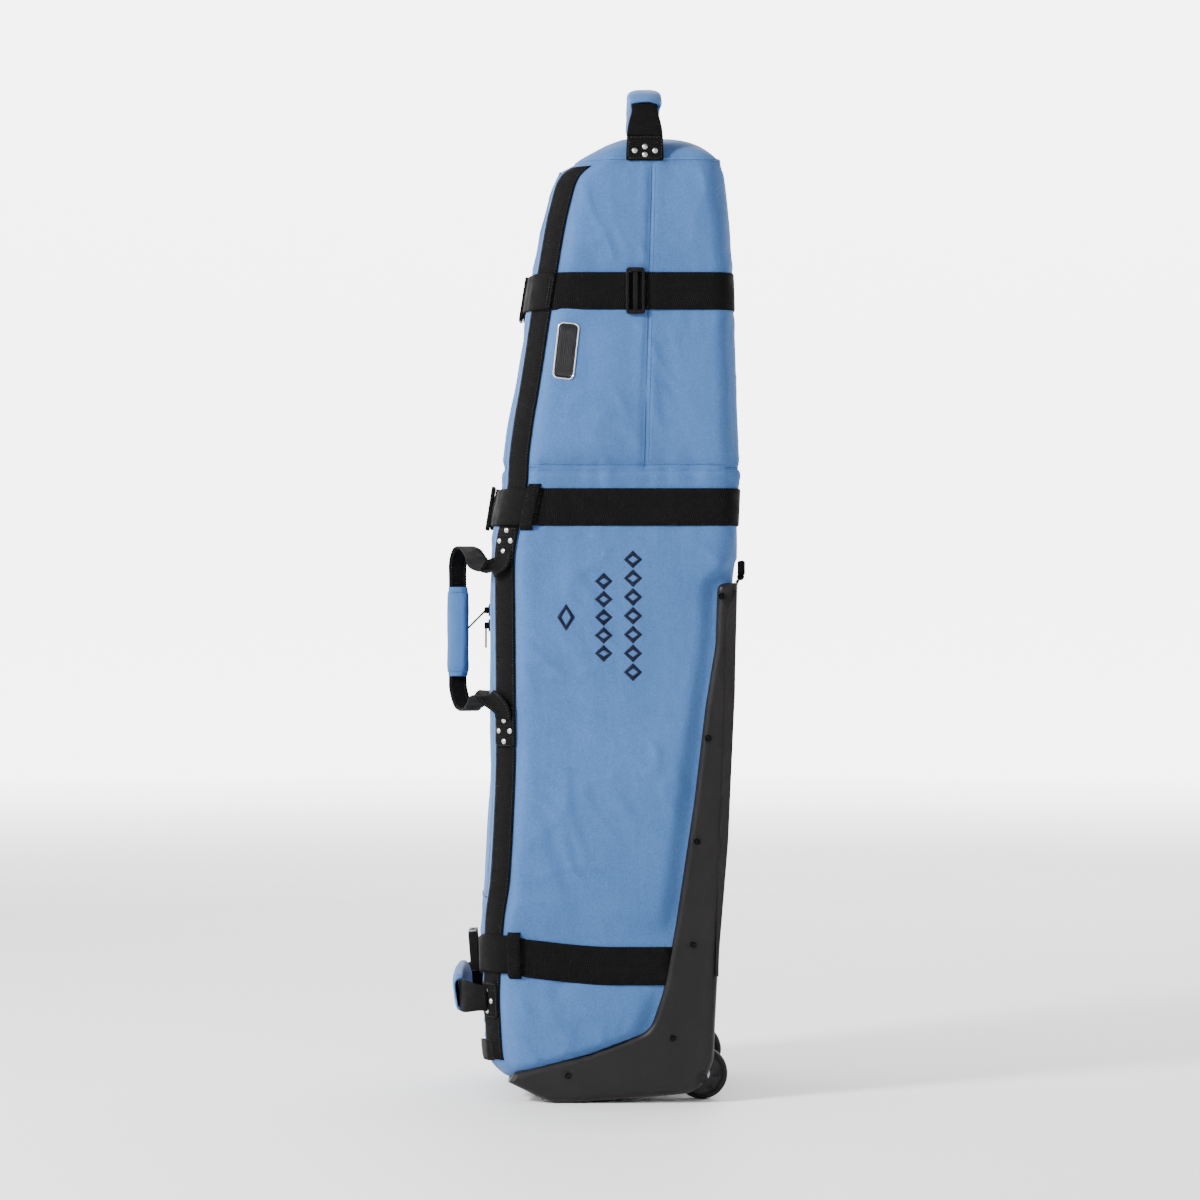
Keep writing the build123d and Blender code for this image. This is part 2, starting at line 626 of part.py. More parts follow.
with BuildPart() as bottom_handle_tabs:
    add(strap_layer)
    span_box(-BOTTOM_TAB_X[1], BOTTOM_TAB_X[1], -300, -20, *BOTTOM_TAB_Z)
    span_box(-BOTTOM_TAB_X[0], BOTTOM_TAB_X[0], -350, 350, 60, 200, mode=Mode.SUBTRACT)
write(bottom_handle_tabs.part, "bottom_handle_tabs")

# ---------------------------------------------------------------- bottom handle
BOTTOM_PIVOT = (-151.0, 137.0)           # (y, z) of the line that the bottom handle turns about
HANDLE_Z = (112.0, 162.0)
with BuildPart() as bottom_handle_webbing:
    with BuildSketch(Plane.XY.offset(HANDLE_Z[0])):
        with BuildLine() as route:
            FilletPolyline(
                (-151, -150), (-128, -180), (-95, -186), (95, -186), (128, -180), (151, -150), radius=[14, 20, 20, 14]
            )
            offset(route.line, amount=3.0, side=Side.RIGHT)
        make_face()
    extrude(amount=HANDLE_Z[1] - HANDLE_Z[0])
    with BuildSketch(Plane.XZ.offset(100)):
        with BuildLine():
            Polyline((-152, 130), (-118, 112), (118, 112), (152, 130), (152, 144), (118, 162), (-118, 162), (-152, 144))
            Line((-152, 144), (-152, 130))
        make_face()
    extrude(amount=160, mode=Mode.INTERSECT)
write(bottom_handle_webbing.part, "bottom_handle_webbing")
with BuildPart() as bottom_handle_sleeve:
    with BuildSketch(Plane.YZ):
        with Locations((-186, 134)):
            RectangleRounded(20, 50, 8)
    extrude(amount=96, both=True)
    add(bottom_handle_webbing.part, mode=Mode.SUBTRACT)
write(bottom_handle_sleeve.part, "bottom_handle_sleeve")

# ---------------------------------------------------------------- top handle
TOP_PIVOT = (64.0, 1290.0)
LEG_X = HALF_WIDTH + 3.2
with BuildPart() as top_handle_tabs:
    for side in (-1, 1):
        with BuildSketch(side_plane(side, GAP)):
            with Locations((TOP_PIVOT[0], 1275)):
                RectangleRounded(50, 34, 3)
        extrude(amount=side * WEB)
write(top_handle_tabs.part, "top_handle_tabs")
with BuildPart() as top_handle_webbing:
    with BuildSketch(Plane.XZ):
        with BuildLine() as route:
            FilletPolyline(
                (-LEG_X, 1284), (-LEG_X, 1332), (-140, 1362), (140, 1362), (LEG_X, 1332), (LEG_X, 1284),
                radius=[22, 60, 60, 22],
            )
            offset(route.line, amount=3.0, side=Side.LEFT)
        make_face()
    extrude(amount=200, both=True)
    with BuildSketch(Plane.YZ):
        with BuildLine():
            Polyline((41, 1372), (41, 1312), (57, 1284), (71, 1284), (87, 1312), (87, 1372), (41, 1372))
        make_face()
    extrude(amount=260, both=True, mode=Mode.INTERSECT)
write(top_handle_webbing.part, "top_handle_webbing")
with BuildPart() as top_handle_sleeve:
    with BuildSketch(Plane.YZ):
        with Locations((TOP_PIVOT[0], 1362)):
            RectangleRounded(50, 12, 4)
    extrude(amount=100, both=True)
    add(top_handle_webbing.part, mode=Mode.SUBTRACT)
write(top_handle_sleeve.part, "top_handle_sleeve")

# ---------------------------------------------------------------- rivets of every handle tab
RIVET_R = 3.6
RIVET_HEAD = 2.2
DIAMOND = [(0, 14), (0, -14), (10, 0), (-10, 0)]            # four rivets about a tab's centre
TOP_DIAMOND = [(13.6, 0), (-13.6, 0), (0, 5.3), (0, -5.3)]
TOP_RIVETS_Z = 1270.0
# rivet groups on the front corners, as (z, turn from the front in degrees)
CORNER_RIVETS = ((750.0, 49.0), (496.0, 49.0), (134.0, 30.0))
CORNER_X = HALF_WIDTH - FRONT_CORNER
RIVET_REACH = FRONT_CORNER + STRAP_OUT - 0.5        # the heads start just inside the tabs' faces
with BuildPart() as handle_rivets:
    for side in (-1, 1):
        for z, turn in CORNER_RIVETS:
            c, s = cos(radians(turn)), sin(radians(turn))
            spot = (side * (CORNER_X + RIVET_REACH * s), front_y(z) + FRONT_CORNER - RIVET_REACH * c, z)
            lean = sin(radians(front_slope(z))) * c
            face = Plane(origin=spot, x_dir=(c, side * s, 0), z_dir=(side * s, -c, lean))
            with BuildSketch(face):
                with Locations(*DIAMOND):
                    Circle(RIVET_R)
            extrude(amount=RIVET_HEAD)
        with BuildSketch(side_plane(side, GAP + WEB)):
            with Locations(*[(TOP_PIVOT[0] + u, TOP_RIVETS_Z + v) for u, v in TOP_DIAMOND]):
                Circle(RIVET_R)
        extrude(amount=side * 0.8)
write(handle_rivets.part, "handle_rivets")

# ---------------------------------------------------------------- badge
BADGE = (-41.0, 1003.0, 6.5)             # centre (y, z) and lean in degrees
BADGE_SIZE = (29.0, 76.0, 7.0)           # width, height and corner radius
BEZEL = 2.0                              # width of the rim
BADGE_OUT = GAP + 0.1
FACE_SIZE = (BADGE_SIZE[0] - 2 * BEZEL, BADGE_SIZE[1] - 2 * BEZEL, BADGE_SIZE[2] - 1.5)
badge_spot = Location((BADGE[0], BADGE[1], 0), (0, 0, -BADGE[2]))
with BuildPart() as badge_bezel:
    with BuildSketch(side_plane(1, BADGE_OUT)):
        with Locations(badge_spot):
            RectangleRounded(*BADGE_SIZE)
            RectangleRounded(*FACE_SIZE, mode=Mode.SUBTRACT)
    extrude(amount=2.6)
write(badge_bezel.part, "badge_bezel")
with BuildPart() as badge_plate:
    with BuildSketch(side_plane(1, BADGE_OUT)):
        with Locations(badge_spot):
            RectangleRounded(*FACE_SIZE)
    extrude(amount=1.8)
write(badge_plate.part, "badge_plate")

# ---------------------------------------------------------------- towing clip
CLIP_PIVOT = (198.5, 703.0)
with BuildPart() as towing_strap:
    with BuildSketch(Plane.YZ):
        with BuildLine():
            Polyline((189, 660), (192.2, 660), (193.2, 690), (196.4, 697), (196.4, 699.6), (193.6, 699.6))
            Polyline((193.6, 699.6), (190.2, 692), (189, 660))
        make_face()
    extrude(amount=11, both=True)
    span_box(-7, 7, 180, 215, 694, 720, mode=Mode.SUBTRACT)
    with BuildSketch(Plane.YZ.offset(-9), Plane.YZ.offset(9)):
        with Locations(CLIP_PIVOT):
            Circle(4.2)
    extrude(amount=2, both=True)
    with BuildSketch(Plane.YZ):
        with Locations(CLIP_PIVOT):
            Circle(1.6)
    extrude(amount=12, both=True, mode=Mode.ADD)
write(towing_strap.part, "towing_strap")
with BuildPart() as towing_clip:
    with BuildSketch(Plane.YZ):
        with Locations(CLIP_PIVOT):
            Circle(4.4)
        with Locations((CLIP_PIVOT[0] + 1.0, CLIP_PIVOT[1] + 12)):
            RectangleRounded(9, 20, 3)
    extrude(amount=6.4, both=True)
    with BuildSketch(Plane.YZ):
        with Locations(CLIP_PIVOT):
            Circle(1.65)
    extrude(amount=10, both=True, mode=Mode.SUBTRACT)
    with BuildSketch(Plane.XZ.offset(-190)):
        with Locations((0, CLIP_PIVOT[1] + 13)):
            RectangleRounded(6.6, 10, 2.5)
    extrude(amount=-30, mode=Mode.SUBTRACT)
write(towing_clip.part, "towing_clip")
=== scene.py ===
"""Looks of a standing, wheeled golf travel case: padded blue fabric, black webbing, moulded base.

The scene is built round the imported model. Lengths are in metres; the few tables of the body's
profile are in millimetres and turned into metres by MM.
"""
import math

import bmesh
import bpy
import numpy as np
from mathutils import Euler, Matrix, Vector, noise


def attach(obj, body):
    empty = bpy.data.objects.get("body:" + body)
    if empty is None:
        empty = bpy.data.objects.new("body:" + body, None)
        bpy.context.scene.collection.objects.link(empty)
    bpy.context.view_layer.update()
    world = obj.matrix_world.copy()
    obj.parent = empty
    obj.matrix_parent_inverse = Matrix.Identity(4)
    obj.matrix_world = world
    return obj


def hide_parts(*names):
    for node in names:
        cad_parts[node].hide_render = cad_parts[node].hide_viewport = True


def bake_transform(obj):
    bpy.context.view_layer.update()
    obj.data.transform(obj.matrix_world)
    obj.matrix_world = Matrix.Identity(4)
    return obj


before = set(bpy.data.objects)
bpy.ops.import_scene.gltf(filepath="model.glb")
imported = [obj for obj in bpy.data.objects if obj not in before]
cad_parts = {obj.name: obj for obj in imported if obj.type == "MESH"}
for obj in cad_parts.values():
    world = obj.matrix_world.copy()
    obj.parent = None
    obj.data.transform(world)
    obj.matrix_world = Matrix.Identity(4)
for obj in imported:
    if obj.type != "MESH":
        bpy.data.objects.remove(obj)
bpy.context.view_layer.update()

MM = 0.001

# ---------------------------------------------------------------- the body's shape, in millimetres
WIDTH = 178.0               # half width of the side panels
FRONT_R = 60.0              # plan radius of the front corners
REAR_R = 26.0               # plan radius of the rear corners, above the moulding
TUCKED_R = 11.0             # and inside the moulding
SEAM_TOP = 1259.0           # seam between the side panels and the top panel
WAIST = 848.0               # seam that runs all round
SIDE_SEAM = (73.0, 63.0)    # y of the upright side seam at its top and at the waist
HINGE_STATION = 1.25        # station of the front panels' outer edges, beside their hinges
MOULD_TOP = 694.0           # height of the moulded back
OPEN_LOW = 275.0            # the zipped opening, from here
OPEN_HIGH = 1242.0          # to here

# the front and the back of the body in side view, as (height, y)
FRONT = [(12, -62), (17, -85), (23, -104), (30, -122), (38, -133), (48, -142), (62, -148), (90, -150),
         (160, -153), (245, -155), (300, -150), (380, -145.5), (470, -142.5), (600, -143), (725, -144),
         (775, -137), (835, -126), (850, -125.5), (900, -120), (960, -110), (1055, -95.5), (1115, -86),
         (1180, -74.5), (1203, -69), (1224, -63.5), (1236, -58), (1246, -49), (1255, -35), (1262, -22)]
REAR = [(12, 64), (60, 99), (100, 128), (130, 151), (204, 157), (350, 167.5), (548, 175), (660, 180),
        (700, 182.5), (728, 186), (771, 187.5), (826, 189.5), (850, 189), (874, 188.5), (952, 185.5),
        (1010, 183.5), (1074, 182), (1115, 180.5), (1160, 177), (1203, 173.5), (1230, 170), (1262, 163)]
# the moulding's front edge in side view, as (height, y), for tucking the fabric behind it
FLANGE = [(41, -110), (67, -9), (97, 66), (150, 87), (237, 104), (404, 128), (530, 144), (610, 156),
          (694, 160)]
STRAPS = {"upper": 1083.0, "middle": 795.0, "lower": 190.0}
BADGE = (-41.0, 1003.0)     # centre of the badge, y and height
STRAP_HALF = 25.0           # half the width of a strap


def smooth_table(table):
    """A smooth curve through (height, y) pairs, as a function of height."""
    h = np.array([p[0] for p in table], float)
    v = np.array([p[1] for p in table], float)
    slope = np.diff(v) / np.diff(h)
    knot = np.zeros(len(h))
    product = slope[1:] * slope[:-1]
    knot[1:-1] = np.where(product > 0, 2 * product / (slope[1:] + slope[:-1] + 1e-12), 0)
    knot[0], knot[-1] = slope[0], slope[-1]

    def curve(z):
        z = min(max(z, h[0]), h[-1])
        i = min(int(np.searchsorted(h, z, side="right")) - 1, len(slope) - 1)
        i = max(i, 0)
        step = h[i + 1] - h[i]
        t = (z - h[i]) / step
        return float(
            v[i] * (1 + 2 * t) * (1 - t) ** 2
            + v[i + 1] * t * t * (3 - 2 * t)
            + step * t * (1 - t) * (knot[i] * (1 - t) - knot[i + 1] * t)
        )

    return curve


front_at = smooth_table(FRONT)
rear_at = smooth_table(REAR)
flange_at = smooth_table(FLANGE)


def ramp(x, a, b):
    """0 before a, 1 after b, and smooth between them."""
    t = min(1.0, max(0.0, (x - a) / (b - a)))
    return t * t * (3 - 2 * t)


def bump(x, centre, half):
    """1 at the centre, about a third at half away, and soon 0 beyond that."""
    return math.exp(-(((x - centre) / half) ** 2))


def rear_radius(z):
    return TUCKED_R + (REAR_R - TUCKED_R) * ramp(z, MOULD_TOP - 30, MOULD_TOP + 40)


def width_at(z):
    """Half width: narrower at the very bottom, and a little at the top."""
    return WIDTH - 8 * (1 - ramp(z, 10, 46)) - 3 * ramp(z, 1100, 1262)


def strap_pinch(z):
    """1 under a strap and at the waist seam, 0 midway between them."""
    near = max(1 - ramp(abs(z - s), STRAP_HALF, STRAP_HALF + 48) for s in STRAPS.values())
    return max(near, bump(z, WAIST, 14), bump(z, SEAM_TOP + 6, 16))


def trim_edges(z):
    """The stations of the corner trim's two edges at a height; it is drawn to the front lower down."""
    high = ramp(z, 120, 300)
    return 1.172 + 0.174 * high, 1.573 + 0.149 * high


def calm(station, z):
    """1 where the corner trim or the zip holds the fabric flat."""
    inner, outer = trim_edges(z)
    zip_end = ramp(abs(z - (OPEN_LOW + OPEN_HIGH) / 2), 470, 520)
    zip_line = (1.11 - 1.11 * ramp(station, 0.12, 0.45)) * (1 - zip_end)
    trim_line = ramp(station, inner - 0.12, inner - 0.01) * (1 - ramp(station, outer + 0.01, outer + 0.14))
    return max(zip_line, trim_line)


def tucked(y, z):
    """1 where the moulding covers the side of the body, 0 well in front of it."""
    if z > MOULD_TOP + 30:
        return 0.0
    edge = flange_at(z)
    if z > MOULD_TOP:
        edge += (z - MOULD_TOP) * 1.2
    return ramp(y, edge - 26, edge - 1)


def wrinkle(p, scale, stretch=(1, 1, 1), seed=0.0):
    """Signed smooth noise at a point given in millimetres."""
    q = Vector((p[0] * stretch[0] / scale + seed, p[1] * stretch[1] / scale, p[2] * stretch[2] / scale))
    return noise.noise(q)


def seam_y_at(z):
    """Where the upright side seam runs."""
    return SIDE_SEAM[1] + (SIDE_SEAM[0] - SIDE_SEAM[1]) * (z - WAIST) / (SEAM_TOP - WAIST)


def puff(station, y, z, x):
    """How far the fabric stands off its plain form, in millimetres."""
    free = 1 - strap_pinch(z)
    side = math.sin(math.pi * (station - 1.55) / 2.0) if 1.55 < station < 3.55 else 0.0
    above_mould = station > 3.5 and z > MOULD_TOP + 10
    back = math.sin(math.pi * min(1.0, (station - 3.5) / 3.0)) if above_mould else 0.0
    front = math.cos(min(1.0, station) * math.pi / 2) if station < 1 else 0.0
    out = side * (9.0 * free + 0.6) + back * 3.0 * free + front * 2.4 * free
    seam_y = seam_y_at(z)
    if z > WAIST - 4 and 2 <= station <= 3:
        valley = 2.3 * bump(y, seam_y, 3.2) + 3.6 * free * bump(y, seam_y, 46)
        out -= valley * ramp(z, WAIST - 4, WAIST + 4)
        out += 1.0 * (bump(y, seam_y - 9, 7) + bump(y, seam_y + 9, 7))
        out += 1.5 * bump(y, seam_y, 17) * wrinkle((x, y, z), 15, (0.3, 0.3, 1), 4.0)
    p = (x, y, z)
    out -= 2.4 * bump(z, WAIST, 3.4)
    out += 1.0 * (bump(z, WAIST - 10, 7) + bump(z, WAIST + 10, 7))
    # gathers run up and down beside the straps and the seams that go round the body
    gather = wrinkle(p, 17, (1, 1, 0.28), 2.0) + 0.6 * wrinkle(p, 33, (1, 1, 0.22), 9.0)
    for strap in STRAPS.values():
        edge = bump(abs(z - strap), STRAP_HALF + 13, 15)
        out += edge * (0.8 + 2.2 * gather)
    out += 1.7 * gather * bump(z, WAIST, 22)
    out += 1.9 * gather * bump(z, SEAM_TOP, 26)
    # broad hollows, and diagonal creases where the padding has settled
    soft = 3.2 * wrinkle(p, 130, (1, 1, 0.8), 3.1) + 1.5 * wrinkle(p, 52, (1, 1.3, 0.7), 7.7)
    lean = (x, y + 0.6 * z, z - 0.35 * y)
    warp = 26 * wrinkle(p, 90, seed=21.0)
    crease = 1 - abs(wrinkle((lean[0] + warp, lean[1] + warp, lean[2]), 62, (1, 1.5, 0.42), 12.0)) * 3.2
    patchy = ramp(wrinkle(p, 150, seed=31.0), -0.12, 0.3)
    soft += 3.0 * max(0.0, crease) ** 2 * patchy
    other = 1 - abs(wrinkle((x, y - 0.9 * z + warp, z), 48, (1, 0.5, 1.1), 41.0)) * 3.6
    soft += 1.9 * max(0.0, other) ** 2 * ramp(wrinkle(p, 120, seed=51.0), 0.0, 0.35)
    soft *= 1 - 0.55 * ramp(station, 3.2, 4.0)
    if 1.6 < station < 3:
        plate = bump(y, BADGE[0], 44) * (1 - ramp(abs(z - BADGE[1]), 34, 70))
        out, soft = out + (5.0 - out) * min(1.0, 1.6 * plate), soft * (1 - min(1.0, 1.6 * plate))
    hold = tucked(y, z) if station > 1.5 else 0.0
    out = (out + soft * (0.25 + 0.75 * free)) * (1 - hold) * (1 - 0.9 * calm(station, z))
    if hold:
        out -= 0.4 * hold
    return out


def plan(station, z):
    """(x, y, normal x, normal y) on the plain form: stations 0-1 front, 1-2 front corner,
    2-3 side, 3-4 rear corner, 4-5 rear, all on the +X half."""
    w, f, r = width_at(z), front_at(z), rear_at(z)
    fr = min(FRONT_R, (r - f) / 2 - 1)
    rr = min(rear_radius(z), (r - f) / 2 - 1)
    turn = (station % 1) * math.pi / 2
    c, s = math.cos(turn), math.sin(turn)
    if station <= 1:
        return station * (w - fr), f, 0.0, -1.0
    if station < 2:
        return w - fr + fr * s, f + fr - fr * c, s, -c
    if station <= 3:
        return w, f + fr + (station - 2) * (r - rr - f - fr), 1.0, 0.0
    if station < 4:
        return w - rr + rr * c, r - rr + rr * s, c, s
    return (5 - station) * (w - rr), r, 0.0, 1.0


def skin(station, z, out=0.0, side=1, level=None):
    """A point on the fabric, in metres, at a station and height, standing out by some millimetres.
    With a level, it follows the fabric at that height only, as a taut strap does."""
    x, y, nx, ny = plan(station, z)
    rise = puff(station, y, z if level is None else level, side * x) + out
    return Vector((side * (x + nx * rise), y + ny * rise, z)) * MM


def facing(station, z, side=1):
    nx, ny = plan(station, z)[2:]
    return Vector((side * nx, ny, 0))


def trace(spots, out, side):
    """The points and the normals of a line over (station, height) spots."""
    return [skin(s, z, out, side) for s, z in spots], [facing(s, z, side) for s, z in spots]


def walk(a, b, step):
    """Numbers from a to b in even steps, both ends included."""
    n = max(1, int(round(abs(b - a) / step)))
    return [a + (b - a) * i / n for i in range(n + 1)]


def side_station(y, z):
    """The station of a given y on the side panel."""
    f, r = front_at(z), rear_at(z)
    rr = rear_radius(z)
    return 2 + (y - f - FRONT_R) / (r - rr - f - FRONT_R)


# ---------------------------------------------------------------- mesh helpers
def make_object(name, verts, faces):
    mesh = bpy.data.meshes.new(name)
    mesh.from_pydata([tuple(v) for v in verts], [], faces)
    mesh.update()
    mesh.polygons.foreach_set("use_smooth", [True] * len(mesh.polygons))
    obj = bpy.data.objects.new(name, mesh)
    bpy.context.scene.collection.objects.link(obj)
    return obj


def grid_faces(rows, cols, closed=False, start=0):
    """Quads of a grid of points stored row by row."""
    faces = []
    last = cols if closed else cols - 1
    for i in range(rows - 1):
        for j in range(last):
            k = (j + 1) % cols
            a, b = start + i * cols + j, start + i * cols + k
            faces.append((a, b, b + cols, a + cols))
    return faces


def tube_faces(rows, cols, start=0):
    """Faces of a closed tube of rings, with both its ends."""
    last = start + (rows - 1) * cols
    ends = [tuple(range(start, start + cols)), tuple(range(last + cols - 1, last - 1, -1))]
    return grid_faces(rows, cols, closed=True, start=start) + ends


def give_uv(obj, coords):
    """One UV per vertex, in metres, for patterns that run along a strip."""
    layer = obj.data.uv_layers.new(name="UVMap")
    for loop in obj.data.loops:
        layer.data[loop.index].uv = coords[loop.vertex_index]


def thicken(obj, thickness, *materials):
    """Give a sheet a thickness inwards; a second material is for its inside."""
    for material in materials:
        obj.data.materials.append(M[material])
    wall = obj.modifiers.new("wall", "SOLIDIFY")
    wall.thickness = thickness
    wall.offset = -1
    wall.material_offset = len(materials) - 1
    dg = bpy.context.evaluated_depsgraph_get()
    obj.data = bpy.data.meshes.new_from_object(
        obj.evaluated_get(dg), preserve_all_data_layers=True, depsgraph=dg)
    obj.modifiers.clear()


def turned(faces):
    """The same faces, seen from the other side."""
    return [tuple(reversed(f)) for f in faces]


def outward(obj, merge=0.0):
    """Face normals point out of a closed mesh. Points closer than merge become one."""
    bm = bmesh.new()
    bm.from_mesh(obj.data)
    if merge:
        bmesh.ops.remove_doubles(bm, verts=bm.verts, dist=merge)
    bmesh.ops.recalc_face_normals(bm, faces=bm.faces)
    bm.to_mesh(obj.data)
    bm.free()


def solid(name, verts, faces, material):
    """A closed mesh in one material."""
    obj = make_object(name, verts, faces)
    outward(obj)
    obj.data.materials.append(M[material])
    return obj


def band(name, rows, thickness, material, edge=0.35):
    """A strip of webbing. rows is a list of (points across, normal) along its length, in metres;
    each row becomes a closed section with soft edges. UVs run across and along in metres."""
    verts, uvs = [], []
    along = 0.0
    across_n = len(rows[0][0])
    for i, (points, normal) in enumerate(rows):
        if i:
            middle = across_n // 2
            along += (points[middle] - rows[i - 1][0][middle]).length
        across = 0.0
        section, coords = [], []
        for j, p in enumerate(points):
            if j:
                across += (p - points[j - 1]).length
            n = normal[j] if isinstance(normal, list) else normal
            thin = edge if j in (0, across_n - 1) else 1.0
            section.append((p + n * thickness * (0.5 + 0.5 * thin), p + n * thickness * (0.5 - 0.5 * thin)))
            coords.append((across, along))
        ring = [s[0] for s in section] + [s[1] for s in reversed(section)]
        verts += ring
        uvs += coords + list(reversed(coords))
    cols = 2 * across_n
    obj = solid(name, verts, tube_faces(len(rows), cols), material)
    give_uv(obj, uvs)
    return obj


def sides():
    return ((-1, "left"), (1, "right"))


def hand_over(obj, body, node):
    """Put a finished piece on its body in place of a CAD node."""
    if body:
        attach(obj, body)
    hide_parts(node)


def join(name, objects):
    """One object out of several, keeping their materials."""
    if len(objects) == 1:
        objects[0].name = name
        return objects[0]
    bpy.ops.object.select_all(action="DESELECT")
    for o in objects:
        o.select_set(True)
    bpy.context.view_layer.objects.active = objects[0]
    bpy.ops.object.join()
    objects[0].name = name
    return objects[0]


# ---------------------------------------------------------------- materials
class Shader:
    """A small helper for building one material's nodes."""

    def __init__(self, name, rough=0.6, metal=0.0, colour=(0.5, 0.5, 0.5)):
        self.mat = bpy.data.materials.new(name)
        self.mat.use_nodes = True
        self.nodes = self.mat.node_tree.nodes
        self.links = self.mat.node_tree.links
        self.bsdf = self.nodes["Principled BSDF"]
        self.bsdf.inputs["Roughness"].default_value = rough
        self.bsdf.inputs["Metallic"].default_value = metal
        self.bsdf.inputs["Base Color"].default_value = (*colour, 1)
        self.coords = None

    def node(self, kind, **values):
        n = self.nodes.new(kind)
        for key, value in values.items():
            if key in n.inputs:
                n.inputs[key].default_value = value
            else:
                setattr(n, key, value)
        return n

    def link(self, a, b):
        self.links.new(a, b)

    def place(self, which="Object"):
        if self.coords is None:
            self.coords = self.node("ShaderNodeTexCoord")
        return self.coords.outputs[which]

    def noise(self, scale, detail=3, stretch=None, rough=0.5):
        vector = self.place()
        if stretch:
            mapping = self.node("ShaderNodeMapping")
            mapping.inputs["Scale"].default_value = stretch
            self.link(vector, mapping.inputs["Vector"])
            vector = mapping.outputs[0]
        n = self.node("ShaderNodeTexNoise", Scale=scale, Detail=detail, Roughness=rough)
        self.link(vector, n.inputs["Vector"])
        return n.outputs["Fac"]

    def math(self, kind, a, b=None):
        n = self.node("ShaderNodeMath", operation=kind)
        for i, value in enumerate((a, b)):
            if isinstance(value, (int, float)):
                n.inputs[i].default_value = value
            elif value is not None:
                self.link(value, n.inputs[i])
        return n.outputs[0]

    def add(self, a, b):
        return self.math("ADD", a, b)

    def times(self, a, b):
        return self.math("MULTIPLY", a, b)

    def mix_colour(self, fac, a, b):
        n = self.node("ShaderNodeMix", data_type="RGBA")
        self.link(fac, n.inputs["Factor"])
        for value, socket in ((a, n.inputs["A"]), (b, n.inputs["B"])):
            if isinstance(value, tuple):
                socket.default_value = (*value, 1)
            else:
                self.link(value, socket)
        return n.outputs["Result"]

    def range(self, value, low, high, to_low, to_high):
        n = self.node("ShaderNodeMapRange")
        for key, number in (("From Min", low), ("From Max", high), ("To Min", to_low), ("To Max", to_high)):
            n.inputs[key].default_value = number
        self.link(value, n.inputs["Value"])
        return n.outputs[0]

    def bump(self, height, strength, distance, under=None):
        n = self.node("ShaderNodeBump", Strength=strength, Distance=distance)
        self.link(height, n.inputs["Height"])
        if under is not None:
            self.link(under, n.inputs["Normal"])
        return n.outputs[0]

    def finish(self, colour=None, rough=None, normal=None):
        if colour is not None:
            self.link(colour, self.bsdf.inputs["Base Color"])
        if rough is not None:
            self.link(rough, self.bsdf.inputs["Roughness"])
        if normal is not None:
            self.link(normal, self.bsdf.inputs["Normal"])
        return self.mat


def woven(s, pitch):
    """Over-and-under threads on every facing, as a height from 0 to 1."""
    split = s.node("ShaderNodeSeparateXYZ")
    s.link(s.place(), split.inputs[0])
    turn = 2 * math.pi / pitch
    waves = [s.math("SINE", s.times(split.outputs[i], turn)) for i in range(3)]
    xy = s.times(waves[0], waves[1])
    yz = s.times(waves[1], waves[2])
    zx = s.times(waves[2], waves[0])
    total = s.add(s.add(xy, yz), zx)
    return s.range(total, -1.6, 1.6, 0.0, 1.0)


def fabric(name, light, dark, pitch=0.0011, rough=0.82, sheen=0.35):
    """Tight plain-weave nylon: threads, slubs, broad shade changes and soft scuffs."""
    s = Shader(name, rough)
    weave = woven(s, pitch)
    broad = s.noise(5.5, 3)
    slub = s.noise(210, 2, stretch=(1, 1, 0.25))
    fine = s.noise(900, 2)
    heather = s.noise(420, 2, rough=0.6)
    shade = s.add(s.times(broad, 0.25), s.times(slub, 0.1))
    shade = s.add(shade, s.times(heather, 0.35))
    shade = s.add(shade, s.times(fine, 0.3))
    base = s.mix_colour(s.range(shade, 0.36, 0.64, 0, 1), dark, light)
    # painted shade: the weave's low points, between the threads, are mixed towards a darker tone
    thread_gap_shade = tuple(c * 0.72 for c in dark)
    base = s.mix_colour(s.range(weave, 0.0, 0.45, 0.45, 0.0), base, thread_gap_shade)
    height = s.add(weave, s.times(slub, 0.3))
    normal = s.bump(height, 0.35, 0.0004)
    s.bsdf.inputs["Sheen Weight"].default_value = sheen * 0.25
    s.bsdf.inputs["Sheen Roughness"].default_value = 0.5
    s.bsdf.inputs["Specular IOR Level"].default_value = 0.15
    return s.finish(base, s.range(fine, 0.3, 0.7, rough - 0.08, rough + 0.08), normal)


def webbing(name, light=(0.0102, 0.0096, 0.0100), dark=(0.0001, 0.0001, 0.0001), rib=0.0028):
    """Black nylon webbing: ribs across the strip and a chevron in the weave."""
    s = Shader(name, 0.7)
    split = s.node("ShaderNodeSeparateXYZ")
    s.link(s.place("UV"), split.inputs[0])
    along, across = split.outputs[1], split.outputs[0]
    zig = s.math("PINGPONG", across, 0.006)
    slanted = s.add(along, s.times(zig, 0.35))
    ribs = s.math("SINE", s.times(slanted, 2 * math.pi / rib))
    threads = s.math("SINE", s.times(across, 2 * math.pi / 0.0013))
    crossing = s.times(ribs, threads)
    height = s.add(s.times(ribs, 0.6), s.times(crossing, 0.4))
    height = s.range(height, -1, 1, 0, 1)
    dust = s.noise(70, 4)
    # painted highlight on the rib crests and painted shade in the grooves, from the weave's height, with
    # real dust patches on top
    rib_light_and_dust = s.add(s.times(height, 0.8), s.times(dust, 0.3))
    colour = s.mix_colour(s.range(rib_light_and_dust, 0.2, 0.95, 0, 1), dark, light)
    s.bsdf.inputs["Specular IOR Level"].default_value = 0.04
    return s.finish(colour, s.range(dust, 0.3, 0.7, 0.6, 0.8), s.bump(height, 0.6, 0.0009))


